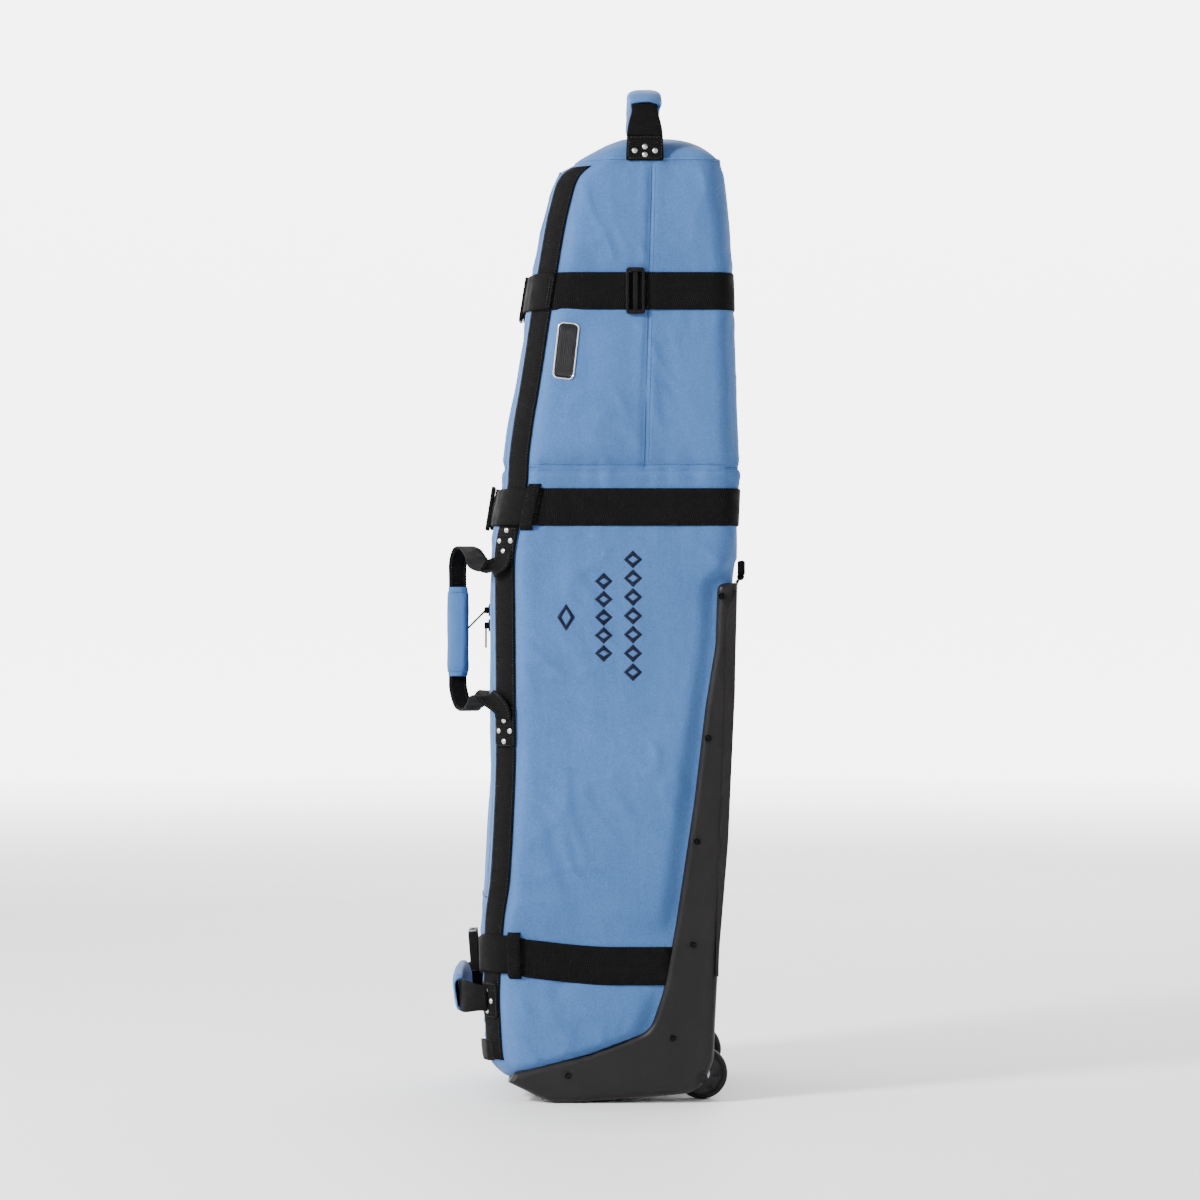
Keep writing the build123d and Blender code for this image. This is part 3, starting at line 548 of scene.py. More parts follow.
def moulded(name, light, dark, grain=1500, rough=0.42, strength=0.22):
    """Injection-moulded plastic: fine spark grain, faint flow marks, scuffed and dusty patches."""
    s = Shader(name, rough)
    broad = s.noise(7, 4)
    fine = s.noise(grain, 2)
    scuff = s.noise(38, 6, stretch=(1, 1, 0.3), rough=0.7)
    colour = s.mix_colour(s.range(broad, 0.35, 0.65, 0, 1), dark, light)
    pale = tuple(min(1.0, c * 1.5 + 0.004) for c in light)
    colour = s.mix_colour(s.range(scuff, 0.62, 0.78, 0.0, 0.35), colour, pale)
    normal = s.bump(fine, strength, 0.0003)
    normal = s.bump(broad, 0.12, 0.002, normal)
    s.bsdf.inputs["Specular IOR Level"].default_value = 0.16
    return s.finish(colour, s.range(scuff, 0.35, 0.75, rough - 0.06, rough + 0.14), normal)


def metal(name, colour, rough, brushed=0.0):
    """Plated or painted metal with fine handling marks."""
    s = Shader(name, rough, 1.0, colour)
    marks = s.noise(160, 5, rough=0.65)
    fine = s.noise(1200, 2, stretch=(1, 1, 0.08) if brushed else None)
    darker = tuple(c * 0.8 for c in colour)
    shade = s.mix_colour(s.range(marks, 0.4, 0.75, 0, 1), colour, darker)
    return s.finish(shade, s.range(marks, 0.3, 0.7, rough - 0.05, rough + 0.14), s.bump(fine, 0.08, 0.0002))


def rubber(name, colour=(0.011, 0.011, 0.0115), rough=0.78):
    """Wheel or foot rubber: matt, finely pitted, dusty in patches."""
    s = Shader(name, rough)
    dust = s.noise(34, 5, rough=0.65)
    pits = s.noise(900, 3)
    dusty = tuple(c * 2.0 + 0.004 for c in colour)
    s.bsdf.inputs["Specular IOR Level"].default_value = 0.15
    shade = s.mix_colour(s.range(dust, 0.48, 0.72, 0, 0.8), colour, dusty)
    return s.finish(shade, s.range(dust, 0.3, 0.7, rough - 0.1, rough + 0.1), s.bump(pits, 0.3, 0.0003))


def duller(material, level):
    """The same material with its mirror-like part set to a level."""
    for node in material.node_tree.nodes:
        if node.type == "BSDF_PRINCIPLED":
            node.inputs["Specular IOR Level"].default_value = level
    return material


THREAD = 0.0007             # pitch of the twist in sewing thread

M = {
    "blue": fabric("blue_nylon", (0.061, 0.148, 0.350), (0.034, 0.091, 0.236)),
    "grip": fabric("grip_nylon", (0.060, 0.145, 0.340), (0.044, 0.112, 0.275), pitch=0.0013),
    "lining": fabric("grey_lining", (0.055, 0.056, 0.06), (0.04, 0.041, 0.045), pitch=0.0016, sheen=0.2),
    "web": webbing("black_webbing"),
    "tape": webbing("zip_tape_weave", rib=0.0009),
    "mould": moulded("charcoal_moulding", (0.0112, 0.0102, 0.0108), (0.0082, 0.0074, 0.0080)),
    "buckle": duller(
        moulded("buckle_acetal", (0.007, 0.007, 0.0073), (0.005, 0.005, 0.0052), 1800, 0.5, 0.12), 0.07),
    "wheel": moulded("wheel_core_nylon", (0.030, 0.030, 0.032), (0.022, 0.022, 0.0235), 1500, 0.45),
    "tread": rubber("wheel_rubber"),
    "foot": rubber("foot_rubber", (0.0055, 0.0055, 0.006)),
    "nickel": metal("bright_nickel", (0.50, 0.49, 0.47), 0.24),
    "chrome": metal("badge_chrome", (0.86, 0.87, 0.88), 0.14),
    "steel": metal("axle_steel", (0.42, 0.42, 0.43), 0.36, 1.0),
    "axle": metal("axle_caps_black", (0.022, 0.022, 0.023), 0.5),
    "screw": metal("blackened_screw", (0.009, 0.009, 0.0095), 0.26),
    "zip_metal": metal("zip_gunmetal", (0.007, 0.007, 0.0075), 0.6),
    "teeth": moulded("zip_teeth_nylon", (0.02, 0.02, 0.021), (0.012, 0.012, 0.013), 1500, 0.4, 0.1),
    "thread": fabric(
        "navy_thread", (0.007, 0.009, 0.026), (0.004, 0.005, 0.015), THREAD, rough=0.5, sheen=0.1),
    "black_thread": fabric(
        "black_thread", (0.013, 0.013, 0.0135), (0.006, 0.006, 0.0065), THREAD, rough=0.6),
    # painted seam shadow: a darker blue for the cords that stand in for the shade in the seams
    "seam": fabric("shaded_seam", (0.030, 0.080, 0.205), (0.020, 0.056, 0.150), THREAD, rough=0.7),
    "blue_thread": fabric("blue_thread", (0.06, 0.15, 0.36), (0.045, 0.12, 0.30), THREAD, rough=0.6),
    "foam": fabric("grey_foam", (0.16, 0.16, 0.17), (0.11, 0.11, 0.12), pitch=0.003),
    "board": moulded("stiffener_board", (0.09, 0.09, 0.09), (0.07, 0.07, 0.07), 900, 0.6),
    "badge": moulded("badge_plate", (0.020, 0.020, 0.021), (0.014, 0.014, 0.015), 700, 0.3, 0.5),
}


# ---------------------------------------------------------------- camera, light and floor
def build_stage():
    camera = bpy.data.objects.new("camera", bpy.data.cameras.new("camera"))
    camera.data.sensor_width = 36.0
    camera.data.lens = 108.5
    camera.data.clip_end = 60.0
    camera.location = (5.0, 0.0042, 0.671)
    camera.rotation_euler = Euler((math.pi / 2, 0, math.pi / 2))
    bpy.context.scene.collection.objects.link(camera)
    bpy.context.scene.camera = camera

    world = bpy.data.worlds.new("studio")
    bpy.context.scene.world = world
    world.use_nodes = True
    world.node_tree.nodes["Background"].inputs[0].default_value = (0.97, 0.985, 1.0, 1)
    world.node_tree.nodes["Background"].inputs[1].default_value = 0.22

    def area(name, place, target, size, power, colour=(1, 1, 1)):
        light = bpy.data.objects.new(name, bpy.data.lights.new(name, "AREA"))
        light.data.shape = "RECTANGLE"
        light.data.size, light.data.size_y = size
        light.data.energy = power
        light.data.color = colour
        light.location = place
        light.rotation_euler = (Vector(target) - Vector(place)).to_track_quat("-Z", "Y").to_euler()
        bpy.context.scene.collection.objects.link(light)

    area("key", (1.9, -2.5, 2.3), (0, 0, 0.8), (0.6, 0.6), 250)
    area("top", (-0.2, -0.4, 4.6), (0, 0, 0), (3.2, 3.2), 45)
    area("back", (-3.4, 1.2, 2.4), (0, 0, 0.8), (2.5, 2.5), 70)

    # floor and backdrop in one sheet, curved where they meet, round every side
    ring, rise = [], []
    for i in range(25):
        a = i / 24 * math.pi / 2
        ring.append(9.0 + 3.0 * math.sin(a))
        rise.append(3.0 - 3.0 * math.cos(a))
    profile = [(0.001, 0.0), (2.0, 0.0), (6.0, 0.0)] + list(zip(ring, rise)) + [(12.0, 9.0)]
    turns = 96
    angles = np.arange(turns) * 2 * math.pi / turns
    verts = [(r * math.cos(t), r * math.sin(t), z) for r, z in profile for t in angles]
    floor = make_object("studio_floor", verts, grid_faces(len(profile), turns, closed=True))
    s = Shader("pale_floor", 0.6)
    s.bsdf.inputs["Specular IOR Level"].default_value = 0.1
    # the far sweep glows a little, most on the far side, as a lit studio wall does
    split = s.node("ShaderNodeSeparateXYZ")
    s.link(s.place("Object"), split.inputs[0])
    away = s.node("ShaderNodeVectorMath", operation="LENGTH")
    s.link(s.place("Object"), away.inputs[0])
    by_distance = s.range(away.outputs["Value"], 3.0, 10.0, 0.0, 1.0)
    glow = s.times(by_distance, s.range(split.outputs[0], 0.5, -7.0, 0.03, 3.8))
    s.bsdf.inputs["Emission Color"].default_value = (1, 1, 1, 1)
    s.link(glow, s.bsdf.inputs["Emission Strength"])
    patch = s.noise(3.0, 3)
    shade = s.mix_colour(patch, (0.85, 0.85, 0.85), (0.88, 0.88, 0.88))
    floor.data.materials.append(s.finish(shade, None, s.bump(s.noise(260, 2), 0.03, 0.0005)))


build_stage()

# ---------------------------------------------------------------- padded body
HEIGHT_STEP = 5.0


def stations(a, b, step):
    """Stations from a to b, with the corners always among them."""
    marks = [a] + [k for k in (1, 2, 3, 4) if a < k < b] + [b]
    lengths = {0: 118, 1: 94, 2: 230, 3: 40, 4: 150}
    found = [a]
    for lo, hi in zip(marks, marks[1:]):
        piece = lengths[min(4, int((lo + hi) / 2))] * (hi - lo)
        n = max(1, int(round(piece / step)))
        found += [lo + (hi - lo) * (i + 1) / n for i in range(n)]
    return found


# the top panel's crown along the middle plane, as (y, height)
CROWN = [(-60, 1247), (-48, 1262), (-35, 1271), (-10, 1284), (20, 1297), (45, 1302.5), (90, 1302.5),
         (115, 1300), (136, 1295), (152, 1285), (166, 1264)]
crown = smooth_table(CROWN)
CROWN_POWER = 2.1           # how square the crown's edge is; 2 would be round


def dome(keep):
    """The crown's rise, as a share, where keep goes from 0 in the middle to 1 at the seam."""
    return (1 - keep ** CROWN_POWER) ** (1 / CROWN_POWER)


def round_the_back(right):
    """(station, side) pairs from the +X side's stations round to the -X side's."""
    return [(s, 1) for s in right] + [(s, -1) for s in reversed(right)][1:]


def build_body():
    """The body's fabric, open at the front where the two panels are."""
    around = round_the_back(stations(HINGE_STATION, 5, HEIGHT_STEP))
    rows = [[skin(s, z, side=d) for s, d in around] for z in walk(OPEN_LOW, OPEN_HIGH, HEIGHT_STEP)]
    verts = [p for row in rows for p in row]
    faces = grid_faces(len(rows), len(around))
    # a full ring below and above the opening; each shares its outer columns with the open part
    front = stations(0, HINGE_STATION, HEIGHT_STEP)[:-1]
    whole = around + [(s, -1) for s in reversed(front)] + [(s, 1) for s in front[1:]]
    ring_size = len(whole)
    for low, high in ((12.5, OPEN_LOW), (OPEN_HIGH, SEAM_TOP)):
        levels = walk(low, high, HEIGHT_STEP)
        start = len(verts)
        for z in levels:
            verts += [skin(s, z, side=d) for s, d in whole]
        faces += grid_faces(len(levels), ring_size, closed=True, start=start)
    # top panel: rings that close in over the crown
    base = len(verts) - ring_size
    edge = [Vector(v) / MM for v in verts[base:base + ring_size]]
    centre_y = (min(p.y for p in edge) + max(p.y for p in edge)) / 2
    rings = 26
    for k in range(1, rings + 1):
        keep = 1 - 0.985 * (1 - math.cos(k / rings * math.pi / 2))
        grow = []
        for p in edge:
            x = p.x * keep
            y = centre_y + (p.y - centre_y) * keep
            lift = dome(keep)
            top = crown(y) + 1.4 * wrinkle((x, y, 0), 50, seed=5.0) * lift
            z = SEAM_TOP + (max(top, SEAM_TOP) - SEAM_TOP) * lift
            grow.append(Vector((x, y, z - 1.2 * bump(k, 1.0, 1.6))) * MM)
        start = len(verts)
        verts += grow
        faces += grid_faces(2, ring_size, closed=True, start=start - ring_size)
    faces.append(tuple(reversed(range(len(verts) - ring_size, len(verts)))))
    body = make_object("padded_body", verts, faces)
    outward(body, merge=0.0004)
    thicken(body, 0.005, "blue", "lining")
    hand_over(body, "case", "bag_shell")


def build_panels():
    """The two halves of the front, which open with the zip."""
    for side, word in sides():
        cols = stations(0, HINGE_STATION, 6.0)
        rows = [[skin(s, z, side=side) for s in cols] for z in walk(OPEN_LOW, OPEN_HIGH, HEIGHT_STEP)]
        for row in rows:
            row[0].x = side * 0.0004
        verts = [p for row in rows for p in row]
        faces = grid_faces(len(rows), len(cols))
        panel = make_object(f"front_fabric_{word}", verts, faces if side > 0 else turned(faces))
        thicken(panel, 0.0045, "blue", "lining")
        blend_front(panel, side)
        hand_over(panel, None, f"front_panel_{word}")


# ---------------------------------------------------------------- stitches
# a thread's section, and the sections along one stitch as (share of the way, lift, thickness)
HEXAGON = [(math.cos(j * math.pi / 3), math.sin(j * math.pi / 3)) for j in range(6)]
STITCH = ((0.0, -0.6, 0.5), (0.12, 0.25, 0.9), (0.36, 0.75, 1.0), (0.6, 0.25, 0.9), (0.72, -0.6, 0.5))


def stitches(name, path, normals, body, material="black_thread", slot="webbing", pitch=0.0042, r=0.00042):
    """A run of separate sewn stitches along a path: short threads that dive in at both ends."""
    lengths = [0.0]
    for a, b in zip(path, path[1:]):
        lengths.append(lengths[-1] + (b - a).length)

    def at(d):
        i = min(len(path) - 2, max(0, int(np.searchsorted(lengths, d, side="right")) - 1))
        t = (d - lengths[i]) / max(1e-9, lengths[i + 1] - lengths[i])
        return path[i].lerp(path[i + 1], t), normals[i].lerp(normals[i + 1], t).normalized()

    verts, faces = [], []
    for k in range(int(lengths[-1] / pitch)):
        start = len(verts)
        for t, lift, fat in STITCH:
            p, n = at((k + 0.14 + t) * pitch)
            q, _ = at((k + 0.14 + t) * pitch + 0.0002)
            along = (q - p).normalized()
            across = n.cross(along).normalized()
            for c, s in HEXAGON:
                verts.append(p + n * r * (lift + fat * s) + across * r * fat * 1.25 * c)
        faces += tube_faces(5, 6, start)
    obj = solid(name, verts, faces, material)
    if body:
        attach(obj, body)
    return obj


def over_trim(station, z):
    """Extra height of whatever crosses the corner trim."""
    inner, outer = trim_edges(z)
    return 1.7 * ramp(station, inner - 0.09, inner) * (1 - ramp(station, outer, outer + 0.1))


def blend_front(obj, side):
    """Bake a piece's placement into its mesh."""
    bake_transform(obj)


# ---------------------------------------------------------------- corner trim
def build_trim():
    for side, word in sides():
        rows = []
        for z in walk(56, 1251, 6.0):
            across = list(np.linspace(*trim_edges(z), 8))
            rows.append(([skin(s, z, 0.3, side) for s in across], [facing(s, z, side) for s in across]))
        trim = band(f"corner_trim_{word}", rows, 0.0016, "web", edge=0.7)
        hand_over(trim, "case", f"side_trim_{word}")
        for i, share in enumerate((0.08, 0.92)):
            edges = [(*trim_edges(z), z) for z in walk(58, 1249, 6.0)]
            spots = [(inner + share * (outer - inner), z) for inner, outer, z in edges]
            stitches(f"trim_stitches_{word}_{i}", *trace(spots, 2.0, side), "case")


# ---------------------------------------------------------------- compression straps
def strap_rows(level, route, out, half=STRAP_HALF, drop=None):
    """Rows of a strap along (station, side) pairs."""
    rows = []
    for k, (s, side) in enumerate(route):
        mid = level + (drop(s) if drop else 0)
        lift = (out(s) if callable(out) else out) + over_trim(s, mid)
        lift += 0.25 * wrinkle((k * 7.0, mid, 0), 40, seed=level)
        points, normals = [], []
        for t in (-1, -0.93, -0.5, 0, 0.5, 0.93, 1):
            z = mid + t * half
            points.append(skin(s, z, lift, side, level))
            normals.append(facing(s, z, side))
        rows.append((points, normals))
    return rows


def edge_stitches(name, level, station_from, station_to, side, out, drop=None):
    """Two stitched lines across a strap, holding a fold of it."""
    made = []
    for i, s in enumerate((station_from, station_to)):
        mid = level + (drop(s) if drop else 0)
        path = [skin(s, mid + t, out + over_trim(s, mid), side, level) for t in walk(-22, 22, 4)]
        made.append(stitches(f"{name}_{i}", path, [facing(s, mid, side)] * len(path), None))
    return made


def lower_drop(s):
    """The lower strap climbs towards the front corner."""
    return -7 + 15 * (1 - ramp(s, 1.7, 2.5)) * ramp(s, 0.5, 1.4) + 5 * (1 - ramp(s, 0.5, 1.2))


def build_straps():
    around = round_the_back(stations(HINGE_STATION, 5, 7.0))
    for word in ("upper", "middle"):
        level = STRAPS[word]
        strap = band(f"{word}_strap_back", strap_rows(level, around, 0.8), 0.002, "web")
        hand_over(strap, "case", f"{word}_strap_rear")
        for side, half_word in sides():
            inner = 0.22 if side > 0 else 0.27
            route = [(s, side) for s in walk(inner, HINGE_STATION, 0.055)]
            rows = strap_rows(level, route, 0.8)
            parts = [band(f"{word}_strap_front_{half_word}", rows, 0.002, "web")]
            if side > 0:
                end = side_station(-82, level)
                tail = [(s, side) for s in walk(inner + 0.02, end, 0.055)]

                def rise(s):
                    return 3.1 + 0.5 * math.sin(s * 9.0) - 0.4 * ramp(s, end - 0.1, end)

                rows = strap_rows(level, tail, rise, STRAP_HALF - 1)
                parts.append(band(f"{word}_strap_tail", rows, 0.002, "web"))
                parts += edge_stitches(f"{word}_tail_hem", level, end - 0.02, end - 0.06, side, 5.4)
            strap = join(f"{word}_strap_front_{half_word}", parts)
            blend_front(strap, side)
            hand_over(strap, None, f"{word}_strap_{half_word}")
    level = STRAPS["lower"]
    for side, half_word in sides():
        end = side_station(100, level)
        route = [(s, side) for s in walk(0.1 if side > 0 else 0.12, end, 0.05)]
        rows = strap_rows(level, route, 0.8, 25.5, lower_drop)
        parts = [band(f"lower_strap_{half_word}_webbing", rows, 0.002, "web")]
        if side > 0:
            tail_end = side_station(-112, level)
            tail = [(s, side) for s in walk(0.3, tail_end, 0.05)]
            rows = strap_rows(level, tail, 3.1, 24, lower_drop)
            parts.append(band("lower_strap_tail", rows, 0.002, "web"))
            parts += edge_stitches("lower_tail_hem", level, tail_end - 0.02, tail_end - 0.06, side, 5.4,
                                   lower_drop)
        strap = join(f"lower_strap_{half_word}_webbing", parts)
        hand_over(strap, "case", f"lower_strap_{half_word}")


def build_keepers():
    """Short webbing loops that hold the straps at the corners."""
    parts = []
    for level, y_mid, drop in ((STRAPS["middle"], -88, None), (STRAPS["lower"], -124, lower_drop)):
        for side, _ in sides():
            s_mid = side_station(y_mid, level)
            if s_mid < 2:
                s_mid = 1.84
            width = 0.035 if s_mid >= 2 else 0.09
            rows = []
            mid = level + (drop(s_mid) if drop else 0)
            for t in walk(-31, 31, 2.0):
                flat = 1 - ramp(abs(t), 25.5, 30.5)
                lift = 0.5 + 5.4 * flat
                across = walk(s_mid - width, s_mid + width, width / 2.5)
                points = [skin(s, mid + t, lift, side, level) for s in across]
                rows.append((points, [facing(s, mid, side) for s in across]))
            parts.append(band("keeper", rows, 0.0018, "web"))
    hand_over(join("webbing_keepers", parts), "case", "strap_keepers")


# ---------------------------------------------------------------- zip
# the sections along one tooth, as (x, thickness across, thickness along the zip)
ZIP_TOOTH = ((2.6, 0.7, 0.42), (1.6, 1.0, 0.5), (0.2, 1.0, 0.42), (-0.7, 0.8, 0.46), (-1.1, 0.4, 0.3))
ZIP_PITCH = 2.5


def build_zip():
    for side, word in sides():
        rows = []
        for z in walk(OPEN_LOW + 2, OPEN_HIGH - 2, 6.0):
            across = [0.014, 0.03, 0.07, 0.11, 0.15, 0.185]
            rows.append(([skin(s, z, 0.35, side) for s in across], [facing(0.1, z, side)] * len(across)))
        tape = band(f"zip_tape_{word}_woven", rows, 0.0008, "tape")
        blend_front(tape, side)
        hand_over(tape, None, f"zip_tape_{word}")
        for i, s in enumerate((0.16, 0.05)):
            spots = [(s, z) for z in walk(OPEN_LOW + 4, OPEN_HIGH - 4, 6.0)]
            line = stitches(f"zip_stitches_{word}_{i}", *trace(spots, 1.2, side), None,
                            slot="zip_tape")
            blend_front(line, side)
        verts, faces = [], []
        for k in range(int((OPEN_HIGH - OPEN_LOW - 12) / ZIP_PITCH)):
            z = OPEN_LOW + 6 + (k + (0.5 if side > 0 else 0.0)) * ZIP_PITCH
            base = skin(0.014, z, 0.0, side)
            start = len(verts)
            for x, grow, fat in ZIP_TOOTH:
                for c, s in HEXAGON:
                    verts.append(Vector((side * x * MM, base.y - (0.9 + 1.15 * grow * s) * MM,
                                         (z + fat * 1.5 * c) * MM)))
            faces += tube_faces(5, 6, start)
        teeth = solid(f"zip_coil_{word}", verts, faces, "teeth")
        hand_over(teeth, f"front_{word}", f"zip_teeth_{word}")


# ---------------------------------------------------------------- seams of the body
def seam_lines():
    """Top-stitching beside the seams of the body."""
    def sew(name, spots, out, side):
        stitches(name, *trace(spots, out, side), "case", "blue_thread", "padded_fabric")

    for side, word in sides():
        for i, dz in enumerate((-4.0, 4.5)):
            sew(f"waist_stitches_{word}_{i}", [(s, WAIST + dz) for s in stations(1.72, 5, 6.0)], 0.25, side)
        spots = [(side_station(seam_y_at(z) + 5.0, z), z) for z in walk(WAIST + 6, SEAM_TOP - 6, 6.0)]
        sew(f"side_seam_stitches_{word}", spots, 0.25, side)
        sew(f"crown_stitches_{word}", [(s, SEAM_TOP - 5) for s in stations(1.4, 5, 6.0)], 0.2, side)


def seam_cord(name, path, normals, r, material):
    """A round cord along a path in a seam; in the darker seam blue it is a painted shadow line along the
    seam, in the body's blue a raised edge.
    """
    verts = []
    for i, p in enumerate(path):
        ahead = (path[min(i + 1, len(path) - 1)] - path[max(i - 1, 0)]).normalized()
        n = normals[i]
        across = n.cross(ahead).normalized()
        for j in range(8):
            a = j * math.pi / 4
            verts.append(p + (n * math.sin(a) + across * math.cos(a)) * r)
    cord = solid(name, verts, tube_faces(len(path), 8), material)
    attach(cord, "case")


def build_seams():
    """The seams' cords: painted seam shadow round the waist, down the sides and across the front panels'
    ends, and a raised blue edge round the crown.
    """
    for name, start, z, out, r, material in (("waist_seam", 1.70, WAIST, 0.3, 0.0009, "seam"),
                                             ("crown_seam", 0, SEAM_TOP + 0.5, 0.6, 0.0016, "blue")):
        ring = round_the_back(stations(start, 5, 4.0))
        path = [skin(s, z, out, d) for s, d in ring]
        seam_cord(name, path, [facing(s, z, d) for s, d in ring], r, material)
    for side, word in sides():
        spots = [(side_station(seam_y_at(z), z), z) for z in walk(WAIST + 1, SEAM_TOP, 4.0)]
        seam_cord(f"side_seam_{word}", *trace(spots, 0.3, side), 0.0009, "seam")
        for z in (OPEN_LOW - 3, OPEN_HIGH + 3):
            spots = [(s, z) for s in walk(0.0, HINGE_STATION, 0.04)]
            seam_cord(f"panel_seam_{word}_{int(z)}", *trace(spots, 0.4, side), 0.0012, "seam")


# ---------------------------------------------------------------- ribbons and sleeves along a route
def spline(points, step=0.004):
    """A smooth route through points, as evenly spaced samples."""
    pts = [Vector(p) for p in points]
    pts = [pts[0] * 2 - pts[1]] + pts + [pts[-1] * 2 - pts[-2]]
    fine = []
    for i in range(1, len(pts) - 2):
        a, b, c, d = pts[i - 1:i + 3]
        n = max(2, int((c - b).length / step))
        for k in range(n):
            t = k / n
            bend = (2 * a - 5 * b + 4 * c - d) * t * t + (3 * b - a - 3 * c + d) * t ** 3
            fine.append(0.5 * (2 * b + (c - a) * t + bend))
    fine.append(pts[-2])
    return fine


def strip_frame(route, i, across):
    """The directions across and out of a strip at one point of its route."""
    ahead = (route[min(i + 1, len(route) - 1)] - route[max(i - 1, 0)]).normalized()
    across = (across - ahead * across.dot(ahead)).normalized()
    return across, ahead.cross(across).normalized()


def ribbon(name, route, wide, width, thickness, material, edge=0.6):
    """Webbing along a route. wide(t) is the direction across the webbing, width(t) its width."""
    rows = []
    for i, p in enumerate(route):
        t = i / (len(route) - 1)
        across, up = strip_frame(route, i, wide(t))
        half = width(t) / 2
        points = [p + across * half * k - up * thickness / 2 for k in (-1, -0.9, -0.45, 0, 0.45, 0.9, 1)]
        rows.append((points, up))
    return band(name, rows, thickness, material, edge)


SOFT_CORNER = 0.62          # how square a sleeve's section is; 1 would be an ellipse


def softened(c):
    return math.copysign(abs(c) ** SOFT_CORNER, c)


def sleeve(name, route, wide, half_wide, half_thick, material, seed):
    """A padded cover wrapped round webbing: a flattened tube with puckered, open ends. wide is the
    direction across it."""
    around = 36
    outer, inner = [], []
    n = len(route)
    for i, p in enumerate(route):
        t = i / (n - 1)
        across, up = strip_frame(route, i, wide)
        end = min(t, 1 - t) * (n - 1) * 4.0
        fill = 0.86 + 0.14 * ramp(end, 0, 14)
        for j in range(around):
            a = 2 * math.pi * j / around
            x = softened(math.cos(a)) * half_wide * fill
            y = softened(math.sin(a)) * half_thick * fill
            pucker = 1 + 0.045 * math.sin(5 * a + seed) * (1 - ramp(end, 0, 20))
            pucker += 0.05 * wrinkle((i * 4.0, j * 6.0, seed), 30)
            crease = 1 - 0.03 * bump(end, 6, 2.2)
            outer.append(p + (across * x + up * y) * pucker * crease)
            inner.append(p + (across * x * 0.86 + up * y * 0.74) * pucker)
    verts = outer + inner
    faces = grid_faces(n, around, closed=True)
    faces += turned(grid_faces(n, around, closed=True, start=n * around))
    for row in (0, (n - 1) * around):
        for j in range(around):
            k = (j + 1) % around
            faces.append((row + j, row + k, n * around + row + k, n * around + row + j))
    return solid(name, verts, faces, material)


def patch(name, outline, place, thickness, material):
    """A flat piece of webbing with a rounded outline laid on a surface. outline is (u, v) in
    millimetres, place(u, v, out) gives a point in metres."""
    us = [p[0] for p in outline]
    vs = [p[1] for p in outline]
    mid = (sum(us) / len(us), sum(vs) / len(vs))
    rings = 5
    verts, uvs = [], []
    for out, edge in ((thickness, True), (0.0, False)):
        for k in range(rings + 1):
            keep = 1 - k / rings * 0.999
            for u, v in outline:
                a, b = mid[0] + (u - mid[0]) * keep, mid[1] + (v - mid[1]) * keep
                drop = 0.45 * thickness if (k == 0 and edge) else 0
                verts.append(place(a, b, out - drop))
                uvs.append((a * MM, b * MM))
    n = len(outline)
    faces = grid_faces(rings + 1, n, closed=True)
    low = (rings + 1) * n
    faces += turned(grid_faces(rings + 1, n, closed=True, start=low))
    faces += [(j, (j + 1) % n, low + (j + 1) % n, low + j) for j in range(n)]
    obj = solid(name, verts, faces, material)
    give_uv(obj, uvs)
    return obj


def rounded_box(half_u, half_v, r, top_scale=1.0):
    """Outline of a rounded rectangle about the origin; the top can be narrower."""
    pts = []
    for cu, cv, start in ((1, 1, 0), (-1, 1, 90), (-1, -1, 180), (1, -1, 270)):
        for i in range(7):
            a = math.radians(start + 15 * i)
            u = cu * (half_u - r) + r * math.cos(a)
            v = cv * (half_v - r) + r * math.sin(a)
            pts.append((u * (top_scale if v > 0 else 1.0), v))
    dense = []
    for (u0, v0), (u1, v1) in zip(pts, pts[1:] + pts[:1]):
        m = max(1, int(math.hypot(u1 - u0, v1 - v0) / 4))
        dense += [(u0 + (u1 - u0) * k / m, v0 + (v1 - v0) * k / m) for k in range(m)]
    return dense


# ---------------------------------------------------------------- handle tabs and rivets
# tabs on the front corners as (height, half height, station), and their rivets as (height, station)
CORNER_TABS = {"carry": ((743.5, 25.5, 1.544), (502.0, 28.0, 1.544)), "bottom": ((135.0, 25.0, 1.372),)}
CORNER_RIVETS = ((750.0, 1.544), (496.0, 1.544), (134.0, 1.333))
ARC = FRONT_R * math.pi / 2                 # length of one station on the front corner
TOP_TAB = (64.0, 1274.0)                    # centre, y and height
TOP_TAB_X = 178.4


def corner_place(station, z, side):
    return lambda u, v, out: skin(station + u / ARC, z + v, 2.0 + out, side)


def stitch_box(name, half_u, half_v, place, facing_at):
    """A sewn rectangle."""
    made = []
    corners = [(-half_u, -half_v), (half_u, -half_v), (half_u, half_v), (-half_u, half_v)]
    runs = list(zip(corners, corners[1:] + corners[:1]))
    for i, ((u0, v0), (u1, v1)) in enumerate(runs):
        n = max(2, int(math.hypot(u1 - u0, v1 - v0) / 4))
        pts = [(u0 + (u1 - u0) * k / n, v0 + (v1 - v0) * k / n) for k in range(n + 1)]
        path = [place(u, v, 1.9) for u, v in pts]
        made.append(stitches(f"{name}_{i}", path, [facing_at] * len(pts), None))
    box = join(name, made)
    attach(box, "case")


